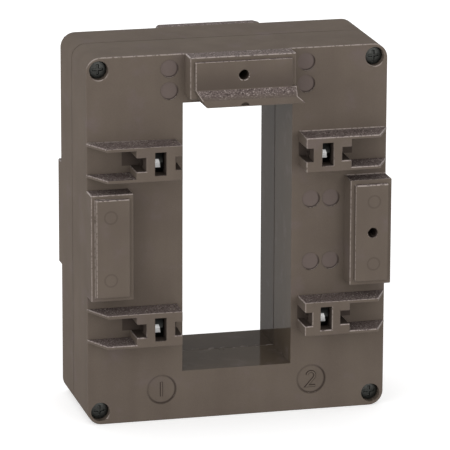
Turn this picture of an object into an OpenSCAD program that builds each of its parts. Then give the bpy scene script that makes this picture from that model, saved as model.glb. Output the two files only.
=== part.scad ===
// Window type current transformer in a two part moulded case.
// The case stands on its lower bar. The busbar passes along Y through the window.
// The P2 face looks towards -Y, the P1 face with the terminal bays towards +Y.

/* [Window] */
// Clear width of the busbar window
window_w = 34; // [28:0.5:44]
// Clear height of the busbar window
window_h = 84; // [74:0.5:100]
// Wall of the tube that lines the window
tube_t = 2.5; // [2:0.1:2.8]

/* [Case] */
// Width of each side limb, from the window to the outer side
limb_w = 29.7; // [29.4:0.1:34]
// Height of the bar below the window
low_bar_h = 15.3; // [15.1:0.1:20]
// Height of the bar above the window
top_bar_h = 15.1; // [15.1:0.1:20]
// Depth of the case between its two faces
case_d = 37; // [36:0.5:46]
// Depth of the P2 half, up to the parting line
half_d = 20.5; // [19:0.5:22]
// Radius of the case corners
corner_r = 4.5; // [3.5:0.1:6]
// Outer wall
wall_t = 2.5; // [2.2:0.1:2.8]
// Thickness of the two faces
face_t = 3; // [2.6:0.1:3.4]
// Width of the groove that runs along the parting line
seam_w = 0.5; // [0.3:0.05:0.8]
// Depth of the groove that runs along the parting line
seam_depth = 0.3; // [0.2:0.05:0.5]
// Length of the tongue that locates the two halves
tongue_l = 1.5; // [1:0.1:2]
// Thickness of the tongue that locates the two halves
tongue_t = 0.9; // [0.7:0.05:1]
// Clearance round the tongue
tongue_gap = 0.1; // [0.05:0.05:0.2]
// Width of the locating key in the floor of the window
key_w = 1.2; // [1:0.1:2]
// Length of the locating key
key_l = 2.2; // [1.5:0.1:3]

/* [Case screws] */
// Distance of each case screw from the outer sides
screw_inset = 4; // [3.9:0.05:4.2]
// Diameter of the recess above a screw head
screw_recess_d = 5.8; // [5.7:0.1:6]
// Depth of the recess above a screw seat
screw_recess_l = 4; // [3.6:0.1:6]
// Diameter of the screw head
screw_head_d = 5.4; // [5:0.1:5.6]
// Height of the screw head
screw_head_h = 2.2; // [1.8:0.1:2.6]
// Diameter of the screw shank
screw_d = 2.9; // [2.6:0.05:3]
// Distance between the end of the screw and the inside of the P1 face
screw_end_gap = 1.5; // [1:0.1:3]
// Diameter of the posts that the screws hold
post_d = 8.4; // [8:0.1:9]

/* [Clamp screw seats] */
// Height of the seats above the P2 face
seat_h = 9; // [8.6:0.1:10]
// Size of a seat along Z
seat_w = 10.6; // [10:0.1:12]
// Distance between the upper and the lower seats
seat_pitch = 51.5; // [50:0.5:60]
// Distance of a seat from the window
seat_inset = 2.1; // [1.5:0.1:3]
// Wall on each side of the open trough
seat_wall = 1; // [0.8:0.1:1.2]
// Length of the sloped outer end of a seat
seat_ramp = 4.5; // [3:0.1:6]
// Diameter of the screw tunnel through a seat
tunnel_d = 4.2; // [4.1:0.1:4.6]
// Height of the tunnel floor above the P2 face
tunnel_rise = 0.2; // [0.1:0.05:0.4]
// Length of the open slot at the inner end
slot_in_l = 2.3; // [2:0.1:3]
// Length of each web beside the nut
web_l = 2.7; // [2.2:0.1:3]
// Length of the open slot at the trough
slot_out_l = 3; // [2:0.1:3.2]

/* [Clamp nuts] */
// Width of the hexagon nut across its flats
nut_af = 7; // [6.8:0.1:7.2]
// Thickness of the nut
nut_m = 3.2; // [2.8:0.1:3.4]
// Thread hole of the nut
nut_hole_d = 3.3; // [3.2:0.05:3.5]
// Play of the nut in its pocket
nut_gap = 0.1; // [0.05:0.05:0.2]

/* [Rail blocks] */
// Width of the blocks on the two sides
block_w = 13; // [11:0.1:14]
// Height of the blocks on the two sides
block_h = 33; // [28:0.5:34]
// Width of the block on the top bar
top_block_w = 32.6; // [26:0.2:33]
// Height of the lower level of a block on the P2 face
block_rise = 6.5; // [5:0.1:7]
// Height of the raised field on a block
field_rise = 1.2; // [0.6:0.1:1.4]
// Margin round the raised field
field_inset = 1.35; // [1:0.05:2]
// Height of the lower level of a block on the P1 face
block_rise_p1 = 4.3; // [3:0.1:5]
// Diameter of the pilot hole in a block
pilot_d = 3.1; // [2.8:0.1:3.4]
// Depth of the pilot hole in a block
pilot_l = 9; // [7:0.5:9.5]
// Reach of the lip at the top of the window, from the P2 face
lip_l = 9; // [8.6:0.1:10]
// Height of the front edge of the lip
lip_edge_h = 2.2; // [1.6:0.1:2.8]
// Distance from the lower left end of the lip to the middle
lip_left = 11.7; // [9:0.1:13]
// Length of the sloped end that the lip has on its right
lip_toe = 2.5; // [1.5:0.1:3]

/* [Face marks] */
// Diameter of the flush ejector discs
disc_d = 5.4; // [4:0.1:5.6]
// Depth of the ejector discs
disc_depth = 0.25; // [0.1:0.05:0.4]
// Diameter of the sunk round fields for the terminal marks
mark_d = 8.8; // [8:0.1:10]
// Depth of the sunk fields
mark_depth = 0.3; // [0.2:0.05:0.5]

/* [Core and windings] */
// Wall of the moulded core box
box_t = 0.7; // [0.5:0.05:0.8]
// Play between the core box and the window tube
core_gap = 0.3; // [0.2:0.05:0.35]
// Play between pieces that are wound or pushed over each other
fit_gap = 0.1; // [0.05:0.05:0.15]
// Inner corner radius of the wound strip core
core_r = 2; // [1:0.1:3]
// Build of each secondary winding
winding_t = 4; // [3:0.1:4.4]
// Length of each secondary winding
winding_l = 54; // [40:0.5:58]
// Diameter of the winding wire
wire_d = 1.6; // [1.2:0.1:1.8]
// Thickness of the tape round each winding
tape_t = 0.4; // [0.2:0.05:0.5]
// Play between the taped windings and the case
winding_gap = 0.4; // [0.3:0.05:0.6]
// Thickness of the rubber pads that hold the core
pad_t = 1.5; // [1:0.1:2]
// Width of the rubber pads
pad_w = 10; // [8:0.5:12]

/* [Terminal bays] */
// Height of the closed terminal bays above the P1 face
bay_h = 12; // [11:0.5:13]
// Width of a terminal bay
bay_w = 22.5; // [22:0.1:23]
// Length of a terminal bay along Z
bay_l = 26; // [25:0.5:27]
// Distance of the terminal bays from the top of the case
bay_drop = 4; // [3.8:0.1:5]
// Wall of a terminal bay and of its cover
bay_wall = 1.6; // [1.4:0.1:1.8]
// Thickness of the brass terminal plates
plate_t = 2; // [1.5:0.1:2.4]
// Distance between the two screws of a terminal
terminal_pitch = 10; // [9.6:0.1:10.4]
// Shank diameter of a terminal screw
terminal_screw_d = 4; // [3.5:0.1:4]
// Head diameter of a terminal screw
terminal_head_d = 7; // [6.6:0.1:7.2]
// Head height of a terminal screw
terminal_head_h = 2.6; // [2.2:0.1:2.8]
// Side of the square washer under a terminal screw
washer_w = 8; // [7.6:0.1:8.4]
// Thickness of the square washer
washer_t = 1.2; // [1:0.1:1.4]

/* [Hidden] */
$fn = 64;
eps = 0.02;
// Depth by which a raised form enters the wall that carries it
root = 1;

// Overall sizes and the planes of the case along Y
case_w = window_w + 2 * limb_w;
case_h = low_bar_h + window_h + top_bar_h;
window_z = low_bar_h;
window_top = window_z + window_h;
mid_z = window_z + window_h / 2;
p2_y = (seat_h - case_d - bay_h) / 2;
p1_y = p2_y + case_d;
seam_y = p2_y + half_d;
mid_y = (p2_y + p1_y) / 2;

// The core fills the thinner bar, and the windings fill the depth of the case
core_play = core_gap + box_t + fit_gap;
core_build = min(low_bar_h, top_bar_h) - wall_t - tube_t - 2 * core_play;
box_build = core_build + 2 * (box_t + fit_gap);
inner_d = case_d - 2 * face_t;
winding_room = winding_t + tape_t + 2 * fit_gap + winding_gap;
box_d = inner_d - 2 * winding_room;
core_d = box_d - 2 * (box_t + fit_gap);
limb_x = window_w / 2 + tube_t + (limb_w - wall_t - tube_t) / 2;
core_half_h = window_h / 2 + tube_t + core_play;
core_half_w = limb_x - core_build / 2;
box_near_y = mid_y - box_d / 2;
box_far_y = mid_y + box_d / 2;

// Seats
seat_in_x = window_w / 2 + seat_inset;
pocket_l = nut_m + 3 * nut_gap;
seat_block_l = slot_in_l + 2 * web_l + pocket_l + slot_out_l;
tunnel_y = p2_y - tunnel_rise - tunnel_d / 2;
nut_x = seat_in_x + slot_in_l + web_l + pocket_l / 2;
nut_corner_r = nut_af / 2 / cos(30);
nut_face_r = nut_af / 2 - 2 * nut_gap;
nut_chamfer_angle = 30;

// Blocks
field_w = block_w - 2 * field_inset;
block_x = case_w / 2 - block_w / 2;
top_block_z = window_top + 2.3;
top_field_z = window_top + 5.1;
top_field_top = case_h - field_inset;
pilot_side_x = block_x + 0.4;
block_cut_w = 1.2;
block_cut_l = 2.4;
lip_right = top_block_w / 2;
lip_high_left = top_block_w / 2 - field_inset;
dimple_w = 2.6;
dimple_h = 1;
dimple_l = 1.2;
dimple_floor = 0.35;
dimple_r = (pow(dimple_w / 2, 2) + pow(dimple_h, 2)) / (2 * dimple_h);

// Screws
screw_x = case_w / 2 - screw_inset;
screw_head_y = p2_y + screw_recess_l;
screw_end_y = p1_y - face_t - screw_end_gap;
screw_clear = 0.2;
cross_w = 0.9;
cross_l = 3.6;
cross_depth = 1.3;

// Marks
disc_top_x = window_w / 2 + 4.2;
disc_upper_z = case_h - 4.4;
disc_step = 6.8;
disc_near_x = window_w / 2 + 6.05;
disc_side_step = 6.2;
disc_side_z = 9.85;
mark_x = window_w / 2 + 6.6;
mark_z = low_bar_h - 5.45;

// Terminal bays
bay_x = limb_x;
bay_top = case_h - bay_drop;
bay_low = bay_top - bay_l;
bay_wall_h = bay_h - bay_wall;
terminal_drop = 8;
terminal_z = bay_top - bay_wall - terminal_drop;
plate_w = bay_w - 2 * bay_wall - 2 * fit_gap;
plate_top = terminal_z + washer_w / 2 + 1;
plate_low = terminal_z - washer_w / 2 - 4;
tag_w = 5;
tag_t = 2;
tag_y = box_far_y + 1;
tag_play = 0.3;
boss_d = 7.4;
boss_floor = 0.8;
boss_play = 1.2;
boss_l = p1_y - face_t - box_far_y - boss_play;
screw_end_play = 0.5;
terminal_screw_l = plate_t + washer_t + face_t + boss_l - boss_floor - screw_end_play;
slot_w = 1;
slot_depth = 1.2;
slot_l = 4.4;
notch_w = 7;
notch_h = 7;
barrier_t = 1.2;
barrier_drop = 2;
snap_z = bay_low + 5;
snap_w = 5;
snap_t = 1.2;
snap_l = 6.5;
snap_hook = 0.5;
snap_hook_l = 1.4;
snap_window_l = 2;
snap_play = 0.2;
lug_w = 6;
lug_l = 3.5;
lug_hole_d = 1.8;

// Windings
winding_low = mid_z - winding_l / 2;
winding_top = mid_z + winding_l / 2;
lead_y = box_far_y + fit_gap + winding_t / 2;
lead_r = wire_d / 2;
link_bend = 4;
link_play = 0.7;
link_z = window_z - tube_t - wire_d - link_play;
sleeve_gap = 0.1;
sleeve_t = 0.5;
sleeve_end_gap = 1;

// Rubber pads, and the ribs of the case that carry them
pad_x = window_w / 4;
pad_h = box_build - 2;
pad_rib_w = 3;
link_pad_gap = 0.6;
low_pad_z = wall_t + 0.5;
low_pad_top = link_z - wire_d / 2 - link_pad_gap;

// Flat drawings, with X across and Z up, and their solids along Y

module along_y(from_y, to_y) {
    translate([0, to_y, 0]) rotate([90, 0, 0]) linear_extrude(to_y - from_y) children();
}

module rounded_rect(w, low, top, r) {
    translate([-w / 2 + r, low]) square([w - 2 * r, top - low]);
    translate([-w / 2, low + r]) square([w, top - low - 2 * r]);
    for (sx = [-1, 1], z = [low + r, top - r]) translate([sx * (w / 2 - r), z]) circle(r);
}

// Outline of the case, drawn in by a margin
module outline(margin = 0) {
    rounded_rect(case_w - 2 * margin, margin, case_h - margin, corner_r - margin / 2);
}

// Window opening, grown by a margin
module window_shape(margin = 0) {
    translate([-window_w / 2 - margin, window_z - margin])
        square([window_w + 2 * margin, window_h + 2 * margin]);
}

// Frame between the inside of the outer wall and the outside of the window tube
module cavity_shape(margin = 0) {
    difference() {
        outline(wall_t - margin);
        window_shape(tube_t - margin);
    }
}

module four_screws() {
    for (sx = [-1, 1], z = [screw_inset, case_h - screw_inset])
        translate([sx * screw_x, 0, z]) children();
}

module rod_y(d, from_y, to_y) {
    translate([0, to_y, 0]) rotate([90, 0, 0]) cylinder(h = to_y - from_y, d = d);
}

// Both mirror images of a piece on the right limb
module both_sides() {
    children();
    mirror([1, 0, 0]) children();
}

// Upper and lower copies of a piece that is drawn at the height zero
module upper_and_lower() {
    for (s = [-1, 1]) translate([0, 0, mid_z + s * seat_pitch / 2]) children();
}

// Seat for a clamp screw, on the right limb and centred on the height zero
module seat_body() {
    translate([seat_in_x, p2_y - seat_h, -seat_w / 2]) cube([seat_block_l, seat_h + root, seat_w]);
    for (z = [-seat_w / 2, seat_w / 2 - seat_wall])
        translate([0, 0, z]) linear_extrude(seat_wall) polygon([
            [seat_in_x, p2_y + root], [seat_in_x, p2_y - seat_h],
            [case_w / 2 - seat_ramp, p2_y - seat_h], [case_w / 2, p2_y], [case_w / 2, p2_y + root]]);
}

module seat_cuts() {
    slot_out_x = seat_in_x + seat_block_l - slot_out_l;
    for (slot = [[seat_in_x - eps, slot_in_l + eps], [slot_out_x, slot_out_l + eps]])
        translate([slot[0], p2_y - seat_h - eps, -tunnel_d / 2])
            cube([slot[1], seat_h + eps, tunnel_d]);
    translate([seat_in_x - eps, tunnel_y, 0]) rotate([0, 90, 0])
        cylinder(h = seat_block_l + 2 * eps, d = tunnel_d);
    translate([nut_x - pocket_l / 2, p2_y - seat_h - eps, -nut_af / 2 - nut_gap])
        cube([pocket_l, tunnel_y + nut_corner_r + nut_gap - p2_y + seat_h + eps,
              nut_af + 2 * nut_gap]);
}

// Rail block with a raised field, standing out of a face by rise
module block(w, low, top, field_low, field_top, rise) {
    translate([-w / 2, -rise, low]) cube([w, rise + root, top - low]);
    translate([-w / 2 + field_inset, -rise - field_rise, field_low])
        cube([w - 2 * field_inset, rise + field_rise, field_top - field_low]);
}

module side_block(rise) {
    low = mid_z - block_h / 2;
    top = mid_z + block_h / 2;
    translate([block_x, 0, 0]) block(block_w, low, top, low + field_inset, top - field_inset, rise);
}

module top_block(rise) {
    block(top_block_w, top_block_z, case_h, top_field_z, top_field_top, rise);
}

// Slanted cuts along the two upright edges of the top block of the P1 face
module block_edge_cuts(rise) {
    for (side = [0, 1]) mirror([side, 0, 0])
        translate([0, 0, top_block_z - eps]) linear_extrude(case_h - top_block_z + 2 * eps)
            polygon([[top_block_w / 2 - block_cut_w, -rise - eps],
                     [top_block_w / 2 + eps, -rise - eps], [top_block_w / 2 + eps, block_cut_l - rise]]);
}

// Lip along the top of the window, with a sloped upper side and two slanted ends
module lip() {
    intersection() {
        translate([-lip_high_left, 0, 0]) rotate([90, 0, 90])
            linear_extrude(lip_high_left + lip_right) polygon([
                [p2_y + root, window_top], [p2_y - lip_l, window_top],
                [p2_y - lip_l, window_top + lip_edge_h],
                [p2_y - block_rise - field_rise, top_field_z], [p2_y + root, top_field_z]]);
        along_y(p2_y - lip_l - eps, p2_y + root + eps) polygon([
            [-lip_left, window_top - eps], [lip_right + eps, window_top - eps],
            [lip_right + eps, top_field_z + eps], [-lip_high_left, top_field_z + eps]]);
    }
    along_y(p2_y - lip_l, p2_y + root) polygon([
        [lip_right - root, window_top], [lip_right + lip_toe, window_top],
        [lip_right, window_top + lip_edge_h], [lip_right - root, window_top + lip_edge_h]]);
}

// Half round sink in the front edge of the lip, with its flat side down
module dimple() {
    along_y(p2_y - lip_l - eps, p2_y - lip_l + dimple_l)
        translate([0, window_top + dimple_floor]) intersection() {
            translate([0, dimple_h - dimple_r]) circle(dimple_r);
            translate([-dimple_w, 0]) square([2 * dimple_w, 2 * dimple_h]);
        }
}

module pilot_hole(x, z) {
    translate([x, 0, z]) rod_y(pilot_d, p2_y - block_rise - field_rise - eps,
                               p2_y - block_rise - field_rise + pilot_l);
}

module disc_cuts() {
    for (sx = [-1, 1], k = [0, 1])
        translate([sx * disc_top_x, 0, disc_upper_z - k * disc_step])
            rod_y(disc_d, p2_y - eps, p2_y + disc_depth);
    for (sx = [-1, 1], sz = [-1, 1], k = [0, 1])
        translate([sx * (disc_near_x + k * disc_side_step), 0, mid_z + sz * disc_side_z])
            rod_y(disc_d, p2_y - eps, p2_y + disc_depth);
}

// Sunk round fields for the terminal marks, cut into a face that looks towards -Y
module mark_cuts() {
    for (sx = [-1, 1]) translate([sx * mark_x, 0, mark_z]) rod_y(mark_d, -eps, mark_depth);
}

// Ribs across a bar that carry the rubber pads, reaching up to the given height
module pad_ribs(from_y, to_y, bottom, top) {
    for (sx = [-1, 1]) translate([sx * pad_x - pad_rib_w / 2, from_y, bottom])
        cube([pad_rib_w, to_y - from_y, top - bottom]);
}

// The moulded half on the P2 side, with the seats, the blocks and the lip
module case_half_p2() {
    color([0.40, 0.36, 0.32]) difference() {
        union() {
            difference() {
                union() {
                    along_y(p2_y, seam_y - seam_w / 2) outline();
                    along_y(seam_y - seam_w, seam_y) outline(seam_depth);
                }
                along_y(p2_y + face_t, seam_y + eps) cavity_shape();
                along_y(seam_y - tongue_l - tongue_gap, seam_y + eps) cavity_shape(tongue_t + tongue_gap);
            }
            intersection() {
                along_y(p2_y + face_t - eps, seam_y - tongue_l - tongue_gap) outline(wall_t / 2);
                four_screws() rod_y(post_d, p2_y + face_t - eps, seam_y);
            }
            pad_ribs(p2_y + face_t - eps, box_near_y - pad_t, wall_t - eps, window_z - tube_t + eps);
            pad_ribs(p2_y + face_t - eps, box_near_y - pad_t, window_top + tube_t - eps,
                     case_h - wall_t + eps);
            both_sides() upper_and_lower() seat_body();
            translate([0, p2_y, 0]) {
                both_sides() side_block(block_rise);
                top_block(block_rise);
            }
            lip();
        }
        along_y(p2_y - eps, seam_y + eps) window_shape();
        four_screws() {
            rod_y(screw_recess_d, p2_y - eps, screw_head_y);
            rod_y(screw_d + 2 * screw_clear, screw_head_y - eps, seam_y + eps);
        }
        both_sides() upper_and_lower() seat_cuts();
        pilot_hole(0, (top_field_z + top_field_top) / 2);
        pilot_hole(pilot_side_x, mid_z);
        dimple();
        disc_cuts();
        translate([0, p2_y, 0]) mark_cuts();
        translate([-key_w / 2 - tongue_gap, seam_y - key_l - tongue_gap, window_z - tube_t - eps])
            cube([key_w + 2 * tongue_gap, key_l + root, tube_t + 2 * eps]);
    }
}

// Walls of one terminal bay on the right limb, open at the top for the wires
module bay_walls() {
    x0 = bay_x - bay_w / 2;
    difference() {
        translate([x0, p1_y - root, bay_low]) cube([bay_w, bay_wall_h + root, bay_l]);
        translate([x0 + bay_wall, p1_y, bay_low + bay_wall])
            cube([bay_w - 2 * bay_wall, bay_wall_h + eps, bay_l - 2 * bay_wall]);
        for (sx = [-1, 1])
            translate([bay_x + sx * terminal_pitch / 2 - notch_w / 2, p1_y + plate_t,
                       bay_top - bay_wall - eps])
                cube([notch_w, notch_h, bay_wall + 2 * eps]);
        for (side = [x0 - eps, x0 + bay_w - bay_wall - eps])
            translate([side, p1_y + bay_wall_h - snap_l - snap_play, snap_z - snap_play])
                cube([bay_wall + 2 * eps, snap_window_l + snap_play, snap_w + 2 * snap_play]);
    }
    // Barrier between the two wire entries
    translate([bay_x - barrier_t / 2, p1_y - eps, plate_top + tag_play])
        cube([barrier_t, bay_wall_h - barrier_drop, bay_top - bay_wall - plate_top - tag_play + eps]);
}

module terminal_bosses() {
    for (sx = [-1, 1]) translate([bay_x + sx * terminal_pitch / 2, 0, terminal_z])
        rod_y(boss_d, p1_y - face_t - boss_l, p1_y - face_t + eps);
}

module terminal_holes() {
    for (sx = [-1, 1]) translate([bay_x + sx * terminal_pitch / 2, 0, terminal_z])
        rod_y(terminal_screw_d + 0.2, p1_y - face_t - boss_l + boss_floor, p1_y + eps);
    translate([bay_x - tag_w / 2 - tag_play, p1_y - face_t - eps, plate_low - tag_play])
        cube([tag_w + 2 * tag_play, face_t + 2 * eps, tag_t + 2 * tag_play]);
}

// The moulded half on the P1 side, with the terminal bays
module case_half_p1() {
    color([0.41, 0.37, 0.33]) difference() {
        union() {
            difference() {
                union() {
                    along_y(seam_y + seam_w / 2, p1_y) outline();
                    along_y(seam_y, seam_y + seam_w) outline(seam_depth);
                }
                along_y(seam_y - eps, p1_y - face_t) cavity_shape();
            }
            // Tongue that enters the rebate of the other half
            along_y(seam_y - tongue_l, seam_y + eps) difference() {
                cavity_shape(tongue_t);
                cavity_shape();
            }
            intersection() {
                along_y(seam_y, p1_y) outline(wall_t / 2);
                four_screws() rod_y(post_d, seam_y - tongue_l, p1_y - face_t + eps);
            }
            pad_ribs(box_far_y + pad_t, p1_y - face_t + eps, wall_t - eps, low_pad_top);
            pad_ribs(box_far_y + pad_t, p1_y - face_t + eps, window_top + tube_t - eps,
                     case_h - wall_t + eps);
            both_sides() bay_walls();
            both_sides() terminal_bosses();
            translate([0, p1_y, 0]) mirror([0, 1, 0]) {
                both_sides() side_block(block_rise_p1);
                difference() {
                    top_block(block_rise_p1);
                    block_edge_cuts(block_rise_p1);
                }
            }
            translate([-key_w / 2, seam_y - key_l, window_z - tube_t])
                cube([key_w, key_l + root, tube_t]);
        }
        along_y(seam_y - tongue_l - eps, p1_y + bay_h) window_shape();
        four_screws() rod_y(screw_d + fit_gap, seam_y - tongue_l - eps, p1_y - face_t);
        both_sides() terminal_holes();
        translate([0, p1_y, 0]) mirror([0, 1, 0]) mark_cuts();
    }
}

// Ring of wound strip, drawn between two offsets from the inside of the core
module core_ring(inside, outside) {
    difference() {
        rounded_rect(2 * (core_half_w + outside), mid_z - core_half_h - outside,
                     mid_z + core_half_h + outside, core_r + outside);
        rounded_rect(2 * (core_half_w + inside), mid_z - core_half_h - inside,
                     mid_z + core_half_h + inside, core_r + inside);
    }
}

module wound_core() {
    color([0.55, 0.56, 0.58]) along_y(mid_y - core_d / 2, mid_y + core_d / 2) core_ring(0, core_build);
}

// One channel of the core box, open towards the other channel
module core_box(from_y, to_y, open_from, open_to) {
    color([0.85, 0.82, 0.74]) difference() {
        along_y(from_y, to_y) core_ring(-fit_gap - box_t, core_build + fit_gap + box_t);
        along_y(open_from, open_to) core_ring(-fit_gap, core_build + fit_gap);
    }
}

module core_box_p2() { core_box(box_near_y, mid_y, box_near_y + box_t, mid_y + eps); }

module core_box_p1() { core_box(mid_y, box_far_y, mid_y - eps, box_far_y - box_t); }

// Sleeve round one limb of the core box, between two offsets from its sides
module limb_sleeve(x, inside, outside, r, low, top) {
    translate([x, mid_y, low]) linear_extrude(top - low) difference() {
        rounded_rect(box_build + 2 * outside, -box_d / 2 - outside, box_d / 2 + outside, r);
        square([box_build + 2 * inside, box_d + 2 * inside], center = true);
    }
}

module winding(x) {
    color([0.72, 0.38, 0.16])
        limb_sleeve(x, fit_gap, fit_gap + winding_t, winding_t / 2, winding_low, winding_top);
}

module winding_left() { winding(-limb_x); }

module winding_right() { winding(limb_x); }

module winding_tape(x) {
    inside = 2 * fit_gap + winding_t;
    color([0.88, 0.84, 0.70]) translate([x, mid_y, winding_low])
        linear_extrude(winding_l) difference() {
            rounded_rect(box_build + 2 * (inside + tape_t), -box_d / 2 - inside - tape_t,
                         box_d / 2 + inside + tape_t, winding_t / 2 + tape_t);
            rounded_rect(box_build + 2 * inside, -box_d / 2 - inside, box_d / 2 + inside,
                         winding_t / 2);
        }
}

module winding_tape_left() { winding_tape(-limb_x); }

module winding_tape_right() { winding_tape(limb_x); }

// Wire that joins the lower ends of the two windings
module series_link() {
    color([0.80, 0.45, 0.20]) translate([0, lead_y, 0]) {
        translate([-limb_x + link_bend, 0, link_z]) rotate([0, 90, 0])
            cylinder(h = 2 * (limb_x - link_bend), d = wire_d);
        both_sides() {
            translate([limb_x, 0, link_z + link_bend])
                cylinder(h = winding_low - link_z - link_bend, d = wire_d);
            translate([limb_x - link_bend, 0, link_z + link_bend]) rotate([90, 0, 0])
                rotate([0, 0, -90]) rotate_extrude(angle = 90)
                    translate([link_bend, 0]) circle(d = wire_d);
        }
    }
}

// Lead from the upper end of a winding to the tag of its terminal plate
module lead(x) {
    color([0.80, 0.45, 0.20]) translate([x, lead_y, winding_top])
        cylinder(h = plate_low - winding_top, d = wire_d);
}

module lead_s1() { lead(-limb_x); }

module lead_s2() { lead(limb_x); }

module lead_sleeve(x) {
    color([0.80, 0.12, 0.10]) translate([x, lead_y, winding_top]) difference() {
        cylinder(h = plate_low - winding_top - sleeve_end_gap,
                 d = wire_d + 2 * (sleeve_gap + sleeve_t));
        translate([0, 0, -eps])
            cylinder(h = plate_low - winding_top, d = wire_d + 2 * sleeve_gap);
    }
}

module lead_sleeve_s1() { lead_sleeve(-limb_x); }

module lead_sleeve_s2() { lead_sleeve(limb_x); }

// Rubber pads between the ribs of the case and the core box
module core_pads() {
    low_z = mid_z - core_half_h - fit_gap - box_t - pad_h;
    top_z = mid_z + core_half_h + fit_gap + box_t;
    color([0.12, 0.12, 0.12]) for (sx = [-1, 1]) {
        for (z = [low_z, top_z]) translate([sx * pad_x - pad_w / 2, box_near_y - pad_t, z])
            cube([pad_w, pad_t, pad_h]);
        translate([sx * pad_x - pad_w / 2, box_far_y, top_z]) cube([pad_w, pad_t, pad_h]);
        translate([sx * pad_x - pad_w / 2, box_far_y, low_pad_z])
            cube([pad_w, pad_t, low_pad_top - low_pad_z]);
    }
}

// Brass plate of the right terminal, with a tag that passes through the face
module terminal_plate() {
    color([0.80, 0.70, 0.42]) difference() {
        union() {
            translate([bay_x - plate_w / 2, p1_y, plate_low])
                cube([plate_w, plate_t, plate_top - plate_low]);
            translate([bay_x - tag_w / 2, tag_y, plate_low]) cube([tag_w, p1_y - tag_y + eps, tag_t]);
        }
        for (sx = [-1, 1]) translate([bay_x + sx * terminal_pitch / 2, 0, terminal_z])
            rod_y(terminal_screw_d + 0.1, p1_y - eps, p1_y + plate_t + eps);
    }
}

module terminal_plate_s1() { mirror([1, 0, 0]) terminal_plate(); }

module terminal_plate_s2() { terminal_plate(); }

module four_terminals() {
    both_sides() for (sx = [-1, 1])
        translate([bay_x + sx * terminal_pitch / 2, p1_y + plate_t, terminal_z]) children();
}

module terminal_washers() {
    color([0.78, 0.79, 0.80]) four_terminals() difference() {
        translate([-washer_w / 2, 0, -washer_w / 2]) cube([washer_w, washer_t, washer_w]);
        rod_y(terminal_screw_d + 0.3, -eps, washer_t + eps);
    }
}

module terminal_screws() {
    color([0.75, 0.76, 0.78]) four_terminals() difference() {
        union() {
            rod_y(terminal_head_d, washer_t, washer_t + terminal_head_h);
            rod_y(terminal_screw_d, washer_t - terminal_screw_l, washer_t + eps);
        }
        translate([-terminal_head_d, washer_t + terminal_head_h - slot_depth, -slot_w / 2])
            cube([2 * terminal_head_d, 2 * slot_depth, slot_w]);
        translate([-slot_w / 2, washer_t + terminal_head_h - slot_depth, -slot_l / 2])
            cube([slot_w, 2 * slot_depth, slot_l]);
    }
}

// Snap on cover of the right terminal bay, with two holes for the screwdriver
module terminal_cover() {
    x0 = bay_x - bay_w / 2;
    plate_y = p1_y + bay_wall_h;
    color([0.43, 0.39, 0.35]) difference() {
        union() {
            translate([x0, plate_y, bay_low]) cube([bay_w, bay_wall, bay_l]);
            for (side = [0, 1]) translate([bay_x, 0, 0]) mirror([side, 0, 0])
                translate([bay_w / 2 - bay_wall - snap_play - snap_t, 0, snap_z]) {
                    translate([0, plate_y - snap_l, 0]) cube([snap_t, snap_l + eps, snap_w]);
                    linear_extrude(snap_w) polygon([
                        [snap_t - eps, plate_y - snap_l], [snap_t, plate_y - snap_l],
                        [snap_t + snap_play + snap_hook, plate_y - snap_l + snap_hook_l],
                        [snap_t - eps, plate_y - snap_l + snap_hook_l]]);
                }
            translate([bay_x - lug_w / 2, plate_y, bay_low - lug_l])
                cube([lug_w, bay_wall, lug_l + eps]);
        }
        for (sx = [-1, 1]) translate([bay_x + sx * terminal_pitch / 2, 0, terminal_z])
            rod_y(terminal_head_d + 0.4, plate_y - eps, plate_y + bay_wall + eps);
        translate([bay_x, 0, bay_low - lug_l / 2])
            rod_y(lug_hole_d, plate_y - eps, plate_y + bay_wall + eps);
    }
}

module terminal_cover_s1() { mirror([1, 0, 0]) terminal_cover(); }

module terminal_cover_s2() { terminal_cover(); }

// Self tapping screws that hold the two halves together
module case_screws() {
    color([0.62, 0.63, 0.65]) four_screws() difference() {
        union() {
            rod_y(screw_head_d, screw_head_y - screw_head_h, screw_head_y);
            rod_y(screw_d, screw_head_y - eps, screw_end_y);
        }
        for (a = [0, 90]) rotate([0, a, 0])
            translate([-cross_l / 2, screw_head_y - screw_head_h - eps, -cross_w / 2])
                cube([cross_l, cross_depth, cross_w]);
    }
}

// Hexagon nut with its axis along X and with chamfered corners
module hex_nut() {
    rotate([0, 90, 0]) rotate([0, 0, 30]) difference() {
        intersection() {
            cylinder(h = nut_m, r = nut_corner_r, center = true, $fn = 6);
            union() for (s = [0, 1]) mirror([0, 0, s])
                cylinder(h = nut_m / 2, r1 = nut_face_r + nut_m / 2 / tan(nut_chamfer_angle),
                         r2 = nut_face_r);
        }
        cylinder(h = nut_m + 1, d = nut_hole_d, center = true);
    }
}

module clamp_nuts() {
    color([0.80, 0.82, 0.84]) both_sides() upper_and_lower()
        translate([nut_x, tunnel_y, 0]) hex_nut();
}

case_half_p2();
case_half_p1();
wound_core();
core_box_p2();
core_box_p1();
winding_left();
winding_right();
winding_tape_left();
winding_tape_right();
series_link();
lead_s1();
lead_s2();
lead_sleeve_s1();
lead_sleeve_s2();
core_pads();
terminal_plate_s1();
terminal_plate_s2();
terminal_washers();
terminal_screws();
terminal_cover_s1();
terminal_cover_s2();
case_screws();
clamp_nuts();
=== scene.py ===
"""Looks of a window type current transformer, dressed round its packed construction.

The case halves, the covers and the small cut parts keep the construction's own surfaces, with their
sharp edges eased. Nuts, screws, windings, tapes, wires and marks are surfaces worked out on grids.
Lengths are in millimetres, in the frame of the construction: X across, Y from the P2 face to the P1
face, Z up. MM turns them into metres.
"""
from __future__ import annotations

import logging
import math
from collections.abc import Sequence
from dataclasses import dataclass, field
from enum import Enum
from functools import cached_property

import bmesh
import bpy
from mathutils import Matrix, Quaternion, Vector
import numpy as np


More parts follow.
